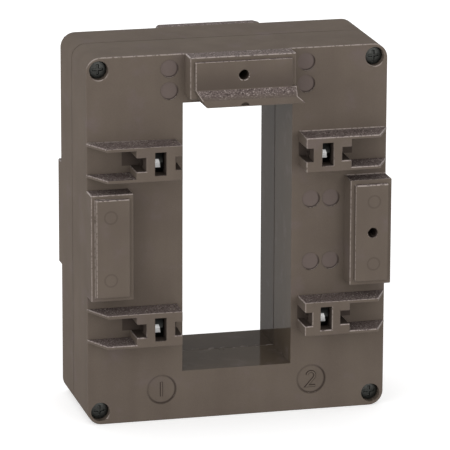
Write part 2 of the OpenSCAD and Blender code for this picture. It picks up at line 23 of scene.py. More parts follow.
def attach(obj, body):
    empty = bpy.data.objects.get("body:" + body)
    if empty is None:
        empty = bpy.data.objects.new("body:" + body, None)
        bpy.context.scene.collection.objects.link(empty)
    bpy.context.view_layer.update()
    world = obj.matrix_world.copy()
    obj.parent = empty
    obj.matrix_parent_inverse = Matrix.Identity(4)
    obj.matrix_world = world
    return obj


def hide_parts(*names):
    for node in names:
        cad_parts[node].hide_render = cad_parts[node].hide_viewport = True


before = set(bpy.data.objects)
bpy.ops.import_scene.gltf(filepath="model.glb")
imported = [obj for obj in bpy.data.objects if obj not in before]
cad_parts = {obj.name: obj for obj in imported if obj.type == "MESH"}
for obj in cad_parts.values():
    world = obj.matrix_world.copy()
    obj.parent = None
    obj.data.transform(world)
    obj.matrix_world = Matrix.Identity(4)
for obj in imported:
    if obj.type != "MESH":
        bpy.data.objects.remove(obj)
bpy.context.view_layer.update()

LOG = logging.getLogger("current_transformer")
MM = 0.001
TURN = 2.0 * math.pi
BODY = "root"

# Places that several parts share: faces of the case, its window, seats, nuts, marks and limbs
FACE_Y, BACK_Y = -20.0, 17.0
WINDOW_HALF, MID_Z = 17.0, 57.3
SEAT_STEP = 25.75
NUT_X, NUT_Y = 25.85, -22.3
MARK_X, MARK_Z = 23.6, 9.85
LIMB_X, LIMB_LOW, LIMB_TOP = 31.85, 30.3, 84.3

Colour = tuple[float, float, float]
Box = tuple[Colour, Colour]


def put(owner: object, **settings: object) -> None:
    """Sets several properties of a node, a modifier or the like."""
    for key, value in settings.items():
        setattr(owner, key, value)


@dataclass(frozen=True)
class Value:
    """Output of a node, with the signs of arithmetic: the larger of two values is a | b."""

    nodes: Nodes
    socket: bpy.types.NodeSocket

    def __add__(self, other: Source) -> Value:
        """Returns the sum of both."""
        return self.nodes.calc("ADD", self, other)

    def __sub__(self, other: Source) -> Value:
        """Returns this less the other."""
        return self.nodes.calc("SUBTRACT", self, other)

    def __rsub__(self, other: float) -> Value:
        """Returns a number less this."""
        return self.nodes.calc("SUBTRACT", other, self)

    def __mul__(self, other: Source) -> Value:
        """Returns the product of both."""
        return self.nodes.calc("MULTIPLY", self, other)

    def __or__(self, other: Source) -> Value:
        """Returns the larger of both."""
        return self.nodes.calc("MAXIMUM", self, other)

    def __abs__(self) -> Value:
        """Returns this without its sign."""
        return self.nodes.calc("ABSOLUTE", self)

    def reach(self, other: Value) -> Value:
        """Returns the root of the sum of both squares."""
        return self.nodes.calc("SQRT", self * self + other * other)

    def beside(self, middle: float, step: float) -> Value:
        """Signed distance from the nearer of two places, a step on each side of a middle.

        With d the value less the middle, the result is d less the step with the sign of d.

        Args:
            middle: Middle of the two places.
            step: Step from it to each place.

        Returns:
            The distance.
        """
        away = self - middle
        return away - self.nodes.calc("SIGN", away) * step

    def span(self, low: float, high: float, to_low: float = 0.0, to_high: float = 1.0) -> Value:
        """Maps a range of the value smoothly to another one, held at its ends.

        Args:
            low: Start of the range.
            high: End of the range.
            to_low: Result at the start.
            to_high: Result at the end.

        Returns:
            The mapped value.
        """
        sources = dict(enumerate((self, low, high, to_low, to_high)))
        return self.nodes.make("ShaderNodeMapRange", sources, interpolation_type="SMOOTHSTEP")


Source = Value | float | Colour


class Nodes:
    """Writes a material or the world, with a short call for each node."""

    def __init__(self, owner: bpy.types.Material | bpy.types.World) -> None:
        """Turns the nodes on.

        Args:
            owner: Material or world that is written.
        """
        owner.use_nodes = True
        self.owner = owner
        self.tree = owner.node_tree
        self.colour: Source = (0.0, 0.0, 0.0)

    @cached_property
    def place(self) -> Value:
        """Object coordinates in metres."""
        return self.make("ShaderNodeTexCoord", {}, "Object")

    @cached_property
    def axes(self) -> list[Value]:
        """Object coordinates X, Y and Z, in millimetres."""
        return self.split(self.make("ShaderNodeVectorMath", {0: self.place, "Scale": 1.0 / MM},
                                    operation="SCALE"))

    @cached_property
    def facing(self) -> list[Value]:
        """Surface normal's X, Y and Z."""
        return self.split(self.make("ShaderNodeNewGeometry", {}, "Normal"))

    def split(self, vector: Value) -> list[Value]:
        """Returns the X, Y and Z of a vector."""
        parts = self.make("ShaderNodeSeparateXYZ", {0: vector}).socket.node.outputs
        return [Value(self, part) for part in parts]

    def make(self, kind: str, sources: dict[int | str, Source], output: int | str = 0,
             **settings: object) -> Value:
        """Adds a node, sets its properties and feeds its inputs.

        Args:
            kind: Class name of the node.
            sources: What its inputs take, by their names or numbers.
            output: Name or number of the output that is used.
            **settings: Properties of the node and their values.

        Returns:
            The output.
        """
        node = self.tree.nodes.new(kind)
        put(node, **settings)
        self.feed(node, sources)
        return Value(self, node.outputs[output])

    def feed(self, node: bpy.types.Node, sources: dict[int | str, Source]) -> None:
        """Links inputs of a node to other nodes, or sets their values.

        Args:
            node: Node whose inputs are fed.
            sources: What the inputs take, by their names or numbers.
        """
        for key, source in sources.items():
            socket = node.inputs[key]
            if isinstance(source, Value):
                self.tree.links.new(source.socket, socket)
            elif socket.type == "RGBA":
                socket.default_value = (*source, 1.0)
            else:
                socket.default_value = source

    def calc(self, operation: str, a: Source, b: Source = 0.0) -> Value:
        """Returns the result of a Math node with one operand or two."""
        return self.make("ShaderNodeMath", {0: a, 1: b}, operation=operation)

    def noise(self, size: float, detail: float = 2.0, stretch: Colour = (1.0, 1.0, 1.0),
              roughness: float = 0.5) -> Value:
        """Adds a noise pattern on object coordinates.

        Args:
            size: Size of its features.
            detail: Number of finer layers.
            stretch: Scale along each axis.
            roughness: Share of the finer layers.

        Returns:
            The noise value, around a half.
        """
        scaled = self.make("ShaderNodeMapping", {"Vector": self.place, "Scale": stretch})
        return self.make("ShaderNodeTexNoise", {
            "Vector": scaled, "Scale": 1.0 / (size * MM), "Detail": detail,
            "Roughness": roughness}, "Fac")

    def paint(self, over: Colour, share: Source) -> None:
        """Lays a colour over the colour so far.

        Args:
            over: Colour that is laid over it.
            share: Share of the new colour.
        """
        self.colour = self.make("ShaderNodeMix", {0: share, 6: self.colour, 7: over}, 2,
                                data_type="RGBA")

    def bump(self, height: Value, depth: float, strength: float = 1.0,
             under: Value | None = None) -> Value:
        """Adds a bump.

        Args:
            height: Height pattern from 0 to 1.
            depth: Height of the pattern.
            strength: Share of the bump that shows.
            under: Normal of a bump below this one.

        Returns:
            The bumped normal.
        """
        sources = {"Strength": strength, "Distance": depth * MM, "Height": height}
        return self.make("ShaderNodeBump", sources | ({"Normal": under} if under else {}))

    def finish(self, normal: Value, roughness: Source, metallic: Source = 0.0,
               gloss: float = 0.5) -> bpy.types.Material:
        """Connects the shader to the colour so far and to the rest.

        Args:
            normal: Bumped normal.
            roughness: Roughness.
            metallic: Share of metal.
            gloss: Level of the specular reflection.

        Returns:
            The finished material.
        """
        self.feed(self.tree.nodes["Principled BSDF"], {
            "Base Color": self.colour, "Normal": normal, "Roughness": roughness,
            "Metallic": metallic, "Specular IOR Level": gloss})
        return self.owner


@dataclass(frozen=True)
class Finish:
    """A finish with a colour, a fine variation and a grain."""

    name: str
    slot: str
    colour: Colour
    shade: Colour
    roughness: float
    metallic: float = 0.0
    grain_size: float = 0.4
    grain_depth: float = 0.01
    cloud_size: float = 6.0
    stretch: Colour = (1.0, 1.0, 1.0)

    def material(self) -> bpy.types.Material:
        """Clouds between two colours, under a grain that sets the gloss.

        Returns:
            The material.
        """
        nodes = Nodes(bpy.data.materials.new(self.name))
        grain = nodes.noise(self.grain_size, 3.0, self.stretch)
        nodes.colour = self.shade
        share = nodes.noise(self.cloud_size, 3.0) * 0.7 + grain * 0.3
        nodes.paint(self.colour, share.span(0.3, 0.7))
        roughness = grain.span(0.25, 0.75, self.roughness * 0.85, self.roughness * 1.2)
        return nodes.finish(nodes.bump(grain, self.grain_depth), roughness, self.metallic)


class CasePart(Enum):
    """What a finish of the case is for."""

    SKIN = "skin"
    EDGE = "eased edges"
    WINDOW = "walls of the busbar window"
    MARK = "raised marks"


@dataclass(frozen=True)
class CasePlastic:
    """Brown grey moulded plastic of the case, with flecks on what looks up and faint mould marks,
    painted shade in its hollows and painted highlights on its edges.

    A disc or a pilot hole is given by its X, a middle in Z and its step up and down from there. A
    disc also says whether it is on both sides. The slot and the pocket of a seat are given by their
    two ends in X and half their width. A name that ends in dark, pale or tint is the share of the
    dark, the light or the violet colour there.
    """

    name: str
    part: CasePart = CasePart.SKIN
    slot: str = "case_plastic"
    colour: Colour = (0.138, 0.111, 0.090)
    shade: Colour = (0.117, 0.093, 0.076)
    violet: Colour = (0.148, 0.116, 0.113)
    # Pale colour of the skin's flecks and burrs, and of the painted glints and edge highlights
    light_fleck_and_highlight: Colour = (0.42, 0.36, 0.33)
    # Dark colour of the skin's flecks, ghost rings and seam, and of all painted shade and shadows
    dark_fleck_and_shade: Colour = (0.030, 0.021, 0.019)
    roughness: float = 0.8
    gloss: float = 0.05
    face_y: float = FACE_Y
    back_y: float = BACK_Y
    field_y: float = -27.7
    seat_y: float = -29.0
    seam_y: float = 0.5
    shade_end_y: float = -12.0
    mid_z: float = MID_Z
    lip_z: float = 104.4
    lip_x: float = WINDOW_HALF
    lip_dark: float = 0.4
    slope_shade_dark: float = 0.2
    discs: tuple[tuple[float, float, float, bool], ...] = (
        (21.2, 106.6, 3.4, True), (23.05, MID_Z, 9.85, False), (29.25, MID_Z, 9.85, False))
    disc_r: float = 2.7
    disc_tint: float = 0.5
    disc_dark: float = 0.62
    ring_x: float = 40.9
    ring_z: float = 9.75
    ring_r: float = 1.9
    ring_dark: float = 0.22
    mark_x: float = MARK_X
    mark_z: float = MARK_Z
    mark_r: float = 4.4
    mark_dark: float = 0.6
    flank_shade_dark: float = 0.75
    seat_step: float = SEAT_STEP
    seat_half: float = 6.5
    seat_slot: Colour = (19.0, 35.9, 2.14)
    nut_pocket: Colour = (24.0, 27.8, 3.64)
    pilots: tuple[Colour, ...] = ((0.0, 0.0, 108.725), (40.6, MID_Z, 0.0))
    pilot_r: float = 1.55
    hollow_shade_dark: float = 0.62
    skin_tint: float = 0.7
    skin_dark: float = 0.7
    skin_pale: float = 0.75
    skin_gloss: float = 0.12
    past_dark: float = 0.3
    burr_pale: float = 0.5
    highlight_pale: float = 0.75

    def mould_marks_and_shadows(self, nodes: Nodes) -> None:
        """Tints ejector discs, paints shadow on rims of discs and mark fields and adds ghost rings.

        A disc is where the distance in XZ from the nearest of its places is under its radius. The
        painted shadow of a rim is where that distance is near the radius, most where the way from
        the middle is down and right.

        Args:
            nodes: Material that is written.
        """
        x, y, z = nodes.axes
        face = y.span(self.face_y + 0.45, self.face_y + 0.35)
        for place, middle, step, both in self.discs:
            dx, dz = x.beside(0.0, place) if both else x - place, z.beside(middle, step)
            reach = dx.reach(dz)
            disc = reach.span(self.disc_r, self.disc_r - 0.2)
            nodes.paint(self.violet, disc * face * self.disc_tint)
            # Painted shadow along the disc's rim, most on its lower right side
            rim = abs(reach - (self.disc_r - 0.1)).span(0.42, 0.12)
            nodes.paint(self.dark_fleck_and_shade, rim * (dx - dz).span(-0.8, 2.4) * face * self.disc_dark)
        reach = x.beside(0.0, self.ring_x).reach(z.beside(self.mid_z, self.ring_z))
        ring = abs(reach - self.ring_r).span(0.4, 0.1)
        face = y.span(self.field_y + 0.1, self.field_y + 0.02)
        nodes.paint(self.dark_fleck_and_shade, ring * face * self.ring_dark)
        # Painted shadow round the mark field's rim, most on its lower right side
        dx, dz = x.beside(0.0, self.mark_x), z - self.mark_z
        rim = abs(dx.reach(dz) - self.mark_r).span(0.5, 0.12)
        side = (dx - dz).span(-5.0, 3.0, 0.3, 1.0)
        face = y.span(self.face_y + 0.5, self.face_y + 0.4)
        nodes.paint(self.dark_fleck_and_shade, rim * side * face * self.mark_dark)

    def lip_shade(self, nodes: Nodes) -> None:
        """Paints shade on the front of the top block just above its lip, where it meets the slope.

        Args:
            nodes: Material that is written.
        """
        x, y, z = nodes.axes
        above = z.span(self.lip_z, self.lip_z + 0.3) * z.span(self.lip_z + 9.0, self.lip_z + 0.4)
        front = y.span(self.field_y + 0.2, self.field_y + 0.1)
        middle = abs(x).span(self.lip_x, self.lip_x - 2.0)
        nodes.paint(self.dark_fleck_and_shade, above * front * middle * self.lip_dark)

    def painted_hollow_shade(self, nodes: Nodes) -> Value:
        """Share of the painted shade inside the slots, tunnels, nut pockets and pilot holes.

        It is one where the place along X is inside a seat's slot or pocket, the height from the
        seat's axis is under half its width and the place is behind the seat's front. It is one too
        where the distance from a pilot hole's axis is under its radius, behind the block's front.
        It is nought past the end of the holes.

        Args:
            nodes: Material that is written.

        Returns:
            The share, from zero to one.
        """
        x, y, z = nodes.axes
        side, up = abs(x), abs(z.beside(self.mid_z, self.seat_step))
        slot, pocket = (side.span(low, low + 0.1) * side.span(high, high - 0.1)
                        * up.span(half + 0.04, half - 0.02)
                        for low, high, half in (self.seat_slot, self.nut_pocket))
        result = (slot | pocket) * y.span(self.seat_y + 0.05, self.seat_y + 0.7)
        for place, middle, step in self.pilots:
            reach = x.beside(0.0, place).reach(z.beside(middle, step))
            result |= (reach.span(self.pilot_r + 0.1, self.pilot_r + 0.02)
                       * y.span(self.field_y + 0.1, self.field_y + 1.2))
        return result * y.span(self.shade_end_y + 1.0, self.shade_end_y)

    def flecks(self, nodes: Nodes, upward: Value) -> Value:
        """Adds the rough skin's flecks and violet tint on what looks up.

        The light flecks are partly pale grains of the skin and partly painted glints, where its
        grains catch the top light.

        Args:
            nodes: Material that is written.
            upward: Share of the rough skin.

        Returns:
            The height of the rough skin.
        """
        light = nodes.noise(0.42, 1.0, (1.0, 0.7, 1.0))
        dark = nodes.noise(0.5, 1.0, (0.8, 1.0, 1.1))
        patch = nodes.noise(5.0).span(0.38, 0.58, 0.45, 1.0)
        nodes.paint(self.violet, upward * self.skin_tint)
        nodes.paint(self.dark_fleck_and_shade, dark.span(0.50, 0.38) * upward * self.skin_dark)
        # Light flecks: partly pale grains, partly painted glints of the top light
        nodes.paint(self.light_fleck_and_highlight, light.span(0.57, 0.65) * upward * patch * self.skin_pale)
        return light * upward

    def window_seam(self, nodes: Nodes) -> Value:
        """Paints shade on the window past its seam, draws the seam and leaves pale burrs on the
        floor.

        The painted shade darkens the half of the window that lies deeper in the case.

        Args:
            nodes: Material that is written.

        Returns:
            The share of the matt surface.
        """
        y = nodes.axes[1]
        across, _, up = nodes.facing
        off = abs(y - self.seam_y)
        seam = off.span(0.5, 0.25) * abs(across).span(0.3, 0.7, 0.3, 0.9)
        # Painted shade on the deeper half of the window, past the seam
        past = y.span(self.seam_y - 0.2, self.seam_y + 0.2, 0.0, self.past_dark)
        nodes.paint(self.dark_fleck_and_shade, past | seam)
        burr = nodes.noise(1.3, 2.0, (0.5, 1.0, 1.0)).span(0.56, 0.66)
        burr *= off.span(1.3, 0.5) * up.span(0.3, 0.7)
        nodes.paint(self.light_fleck_and_highlight, burr * self.burr_pale)
        return seam | burr * 0.6

    def edge_highlights(self, nodes: Nodes, bare: Value) -> None:
        """Paints highlights on front edges where they look up, and on raised ones that look left
        too.

        The mouths of the left seats are left out of the raised ones.

        Args:
            nodes: Material that is written.
            bare: Share of the surface outside the holes.
        """
        x, y, z = nodes.axes
        right, back, up = nodes.facing
        seat = abs(z.beside(self.mid_z, self.seat_step))
        mouth = seat.span(self.seat_half, self.seat_half - 0.5) * x.span(1.0, -1.0)
        raised = y.span(self.face_y - 0.5, self.face_y - 1.0) * (1.0 - mouth)
        lit = right * -0.25 + back * -0.35 + up * 0.9 + raised * 0.25
        # Painted highlights, dashed, where the edges face the top and left light
        painted_highlight = nodes.noise(0.75, 3.0).span(0.32, 0.54) * lit.span(0.5, 0.8)
        front = y.span(self.face_y + 1.0, self.face_y + 0.6)
        nodes.paint(self.light_fleck_and_highlight, painted_highlight * front * bare * self.highlight_pale)

    def material(self) -> bpy.types.Material:
        """Clouds, streaks and grain, the marks of the mould and what this part of the case adds.

        Returns:
            The material.
        """
        nodes = Nodes(bpy.data.materials.new(self.name))
        _, y, z = nodes.axes
        _, back, rise = nodes.facing
        grain = nodes.noise(0.28)
        streak = nodes.noise(7.0, 3.0, (1.0, 1.0, 0.12))
        share = nodes.noise(14.0, 3.0) * 0.42 + grain * 0.28 + streak * 0.3
        nodes.colour = self.shade
        nodes.paint(self.colour, share.span(0.34, 0.66))
        tint = nodes.noise(9.0, 4.0, roughness=0.6)
        nodes.paint(self.violet, tint.span(0.52, 0.78, 0.0, 0.5))
        self.mould_marks_and_shadows(nodes)
        self.lip_shade(nodes)
        painted_shade = self.painted_hollow_shade(nodes)
        # Painted shade in the slots, tunnels, nut pockets and pilot holes
        nodes.paint(self.dark_fleck_and_shade, painted_shade * self.hollow_shade_dark)
        bare = 1.0 - painted_shade
        proud = (y.span(self.face_y - 0.1, self.face_y - 0.3)
                 | y.span(self.back_y + 0.1, self.back_y + 0.3))
        lip = (z.span(self.lip_z - 3.2, self.lip_z - 3.4)
               | z.span(self.lip_z - 2.8, self.lip_z - 1.2, 0.15, 0.9))
        looks_up = rise.span(0.22, 0.36) * proud
        # Painted shade on slopes that look only partly up
        nodes.paint(self.dark_fleck_and_shade, looks_up * rise.span(0.6, 0.5) * self.slope_shade_dark)
        upward = looks_up * bare * lip
        skin = self.flecks(nodes, upward)
        rough = grain.span(0.25, 0.75, self.roughness * 0.9, self.roughness * 1.12)
        rough -= upward * self.skin_gloss
        if self.part is CasePart.MARK:
            # Painted shade on the flanks of the raised marks
            nodes.paint(self.dark_fleck_and_shade, abs(back).span(0.97, 0.8, 0.0, self.flank_shade_dark))
        elif self.part is CasePart.WINDOW:
            rough += self.window_seam(nodes) * 0.9
        elif self.part is CasePart.EDGE:
            self.edge_highlights(nodes, bare)
        height = grain * 0.5 + nodes.noise(1.1) * 0.35
        normal = nodes.bump(skin, 0.12, 0.8, nodes.bump(height, 0.012))
        return nodes.finish(normal, rough, gloss=self.gloss)


@dataclass(frozen=True)
class StripSteel:
    """Wound silicon steel strip, whose turns show as fine lines that follow the ring."""

    name: str = "core_strip"
    slot: str = "core_strip"
    colour: Colour = (0.36, 0.37, 0.39)
    shade: Colour = (0.16, 0.16, 0.17)
    roughness: float = 0.42
    metallic: float = 0.9
    half_w: float = 24.2
    half_h: float = 46.0
    corner: float = 2.0
    mid_z: float = MID_Z
    strip: float = 0.6

    def material(self) -> bpy.types.Material:
        """A sine of the distance from the inner rounded rectangle draws the turns.

        Returns:
            The material.
        """
        nodes = Nodes(bpy.data.materials.new(self.name))
        x, _, z = nodes.axes
        past_x = (abs(x) - (self.half_w - self.corner)) | 0.0
        past_z = (abs(z - self.mid_z) - (self.half_h - self.corner)) | 0.0
        wave = nodes.calc("SINE", past_x.reach(past_z) * (TURN / self.strip))
        line = (wave + nodes.noise(2.0) * 0.6).span(-0.8, 0.6)
        nodes.colour = self.shade
        nodes.paint(self.colour, line)
        return nodes.finish(nodes.bump(line, 0.03), self.roughness, self.metallic)


@dataclass(frozen=True)
class NutZinc:
    """Zinc plated steel of the nuts: a painted highlight on one facet, the rest painted dark as
    shade.
    """

    name: str = "nut_zinc"
    slot: str = "zinc_steel"
    bright: Colour = (0.95, 0.95, 0.94)
    painted_shade: Colour = (0.050, 0.052, 0.050)
    nut_x: float = NUT_X
    nut_y: float = NUT_Y
    mid_z: float = MID_Z
    step: float = SEAT_STEP
    lean: float = 0.25

    def material(self) -> bpy.types.Material:
        """The painted highlight is a slanted band across each nut's axis, at its left.

        Returns:
            The material.
        """
        nodes = Nodes(bpy.data.materials.new(self.name))
        x, y, z = nodes.axes
        up = z.beside(self.mid_z, self.step)
        slant = x.beside(0.0, self.nut_x) + up * self.lean
        cloud = nodes.noise(1.2, 3.0)
        # Painted highlight, pale and matt, at the left of the lower facet; the rest is painted dark
        # as shade
        band = slant.span(0.3, 0.1) * up.span(1.0, 0.7) * up.span(-2.0, -1.8)
        painted_highlight = band * y.span(self.nut_y - 1.2, self.nut_y - 1.6) * cloud.span(0.25, 0.5, 0.8, 1.0)
        nodes.colour = self.painted_shade
        nodes.paint(self.bright, painted_highlight)
        normal = nodes.bump(nodes.noise(0.18), 0.004)
        return nodes.finish(normal, cloud.span(0.3, 0.7, 0.42, 0.3), 1.0 - painted_highlight)


class Finishes:
    """Every finish of the transformer, made once and shared."""

    def __init__(self) -> None:
        """Builds the materials."""
        kinds = (
            Finish("core_box_plastic", "core_box_plastic", (0.72, 0.68, 0.58), (0.64, 0.60, 0.50),
                   0.5),
            Finish("enamelled_copper", "enamelled_copper", (0.52, 0.18, 0.05), (0.40, 0.12, 0.03),
                   0.25, metallic=0.85, grain_size=0.6, grain_depth=0.004),
            Finish("winding_tape", "winding_tape", (0.78, 0.70, 0.45), (0.70, 0.60, 0.34), 0.3,
                   grain_size=0.8, grain_depth=0.012),
            Finish("lead_sleeve", "lead_sleeve", (0.45, 0.03, 0.02), (0.36, 0.02, 0.015), 0.45),
            Finish("pad_rubber", "pad_rubber", (0.022, 0.022, 0.022), (0.014, 0.014, 0.014), 0.75,
                   grain_depth=0.03),
            Finish("zinc_bright", "zinc_steel", (0.78, 0.79, 0.80), (0.42, 0.42, 0.42), 0.32,
                   metallic=1.0, grain_size=0.3, grain_depth=0.006, cloud_size=1.6),
            Finish("dark_steel", "dark_steel", (0.033, 0.034, 0.030), (0.020, 0.020, 0.018), 0.38,
                   metallic=0.6, grain_size=0.25, grain_depth=0.01, cloud_size=1.4),
            Finish("terminal_brass", "terminal_brass", (0.66, 0.50, 0.24), (0.50, 0.37, 0.17), 0.3,
                   metallic=1.0, stretch=(0.1, 1.0, 1.0), grain_depth=0.005),
            CasePlastic("case_plastic"),
            CasePlastic("case_edge", CasePart.EDGE, roughness=0.5, gloss=0.1),
            # The window's colours are darker than the skin's: painted shade inside the window
            CasePlastic("case_window", CasePart.WINDOW, colour=(0.098, 0.075, 0.055),
                        shade=(0.085, 0.065, 0.047), roughness=0.05, gloss=0.009),
            CasePlastic("case_mark", CasePart.MARK),
            CasePlastic("cover_plastic", slot="cover_plastic", colour=(0.140, 0.112, 0.090),
                        shade=(0.124, 0.099, 0.080)),
            StripSteel(), NutZinc(),
        )
        self.materials = {kind.name: kind.material() for kind in kinds}
        self.slots = {kind.name: kind.slot for kind in kinds}

    def lay(self, piece: bpy.types.Object, *names: str) -> None:
        """Gives a piece its materials.

        Args:
            piece: Piece to dress.
            *names: Names of the finishes, in the order of the piece's material indices.
        """
        piece.data.materials.clear()
        for name in names:
            piece.data.materials.append(self.materials[name])
        LOG.info("%s: %d faces in %s", piece.name, len(piece.data.polygons), names[0])

    def dress(self, piece: bpy.types.Object, *names: str) -> None:
        """Gives a new piece its materials and logs its first finish."""
        self.lay(piece, *names)


def place_object(name: str, data: bpy.types.ID) -> bpy.types.Object:
    """Puts a mesh, a lamp or a camera into the scene, at the origin.

    Args:
        name: Name of the object.
        data: What it shows.

    Returns:
        The new object.
    """
    result = bpy.data.objects.new(name, data)
    bpy.context.scene.collection.objects.link(result)
    return result


def new_piece(name: str, points: np.ndarray, faces: list) -> bpy.types.Object:
    """Puts points and faces into a mesh object at the origin.

    Args:
        name: Name of the piece.
        points: Points, n by 3.
        faces: Lists of point indices.

    Returns:
        The new object.
    """
    mesh = bpy.data.meshes.new(name)
    mesh.from_pydata((points * MM).tolist(), [], faces)
    mesh.update()
    return place_object(name, mesh)


def read(rows: bpy.types.bpy_prop_collection, name: str, width: int = 1,
         kind: type = np.float32) -> np.ndarray:
    """Reads one property of all rows of a mesh.

    Args:
        rows: Vertices, edges, loops or polygons.
        name: Name of the property.
        width: Count of its values in a row.
        kind: Type of its values.

    Returns:
        The values, n by the width where that is over one.
    """
    values = np.zeros(len(rows) * width, kind)
    rows.foreach_get(name, values)
    return values.reshape(-1, width) if width > 1 else values


def inside(points: np.ndarray, box: Box) -> np.ndarray:
    """Returns which of some points in metres lie in a box in millimetres."""
    low, high = np.array(box) * MM
    return np.all((points > low) & (points < high), axis=1)


class EdgeTable:
    """Arrays of a mesh: its edges with the two faces beside each, and the faces' own edges."""

    shortest = 1e-7

    def __init__(self, mesh: bpy.types.Mesh) -> None:
        """Reads a mesh.

        Args:
            mesh: Mesh to read.
        """
        self.loop_edge = read(mesh.loops, "edge_index", 1, np.int32)
        self.totals = read(mesh.polygons, "loop_total", 1, np.int32)
        self.loop_face = np.repeat(np.arange(len(self.totals)), self.totals)
        self.normals = read(mesh.polygons, "normal", 3)
        self.sides = read(mesh.vertices, "co", 3)[read(mesh.edges, "vertices", 2, np.int32)]
        length = np.linalg.norm(self.sides[:, 0] - self.sides[:, 1], axis=1)
        self.length = np.maximum(length, self.shortest)
        order = np.argsort(self.loop_edge, kind="stable")
        edge, face = self.loop_edge[order], self.loop_face[order]
        numbers, last = np.arange(len(length)), len(edge) - 1
        first = np.searchsorted(edge, numbers)
        self.pair = np.searchsorted(edge, numbers, side="right") - first == 2
        self.one = face[np.minimum(first, last)]
        self.two = face[np.minimum(first + 1, last)]
        cosine = (self.normals[self.one] * self.normals[self.two]).sum(1)
        self.turn = np.degrees(np.arccos(np.clip(cosine, -1.0, 1.0)))

    def around(self, share: np.ndarray | float = 1.0) -> np.ndarray:
        """Returns, for each face, the sum of the lengths of its edges times their shares."""
        return np.bincount(self.loop_face, weights=(self.length * share)[self.loop_edge],
                           minlength=len(self.totals))


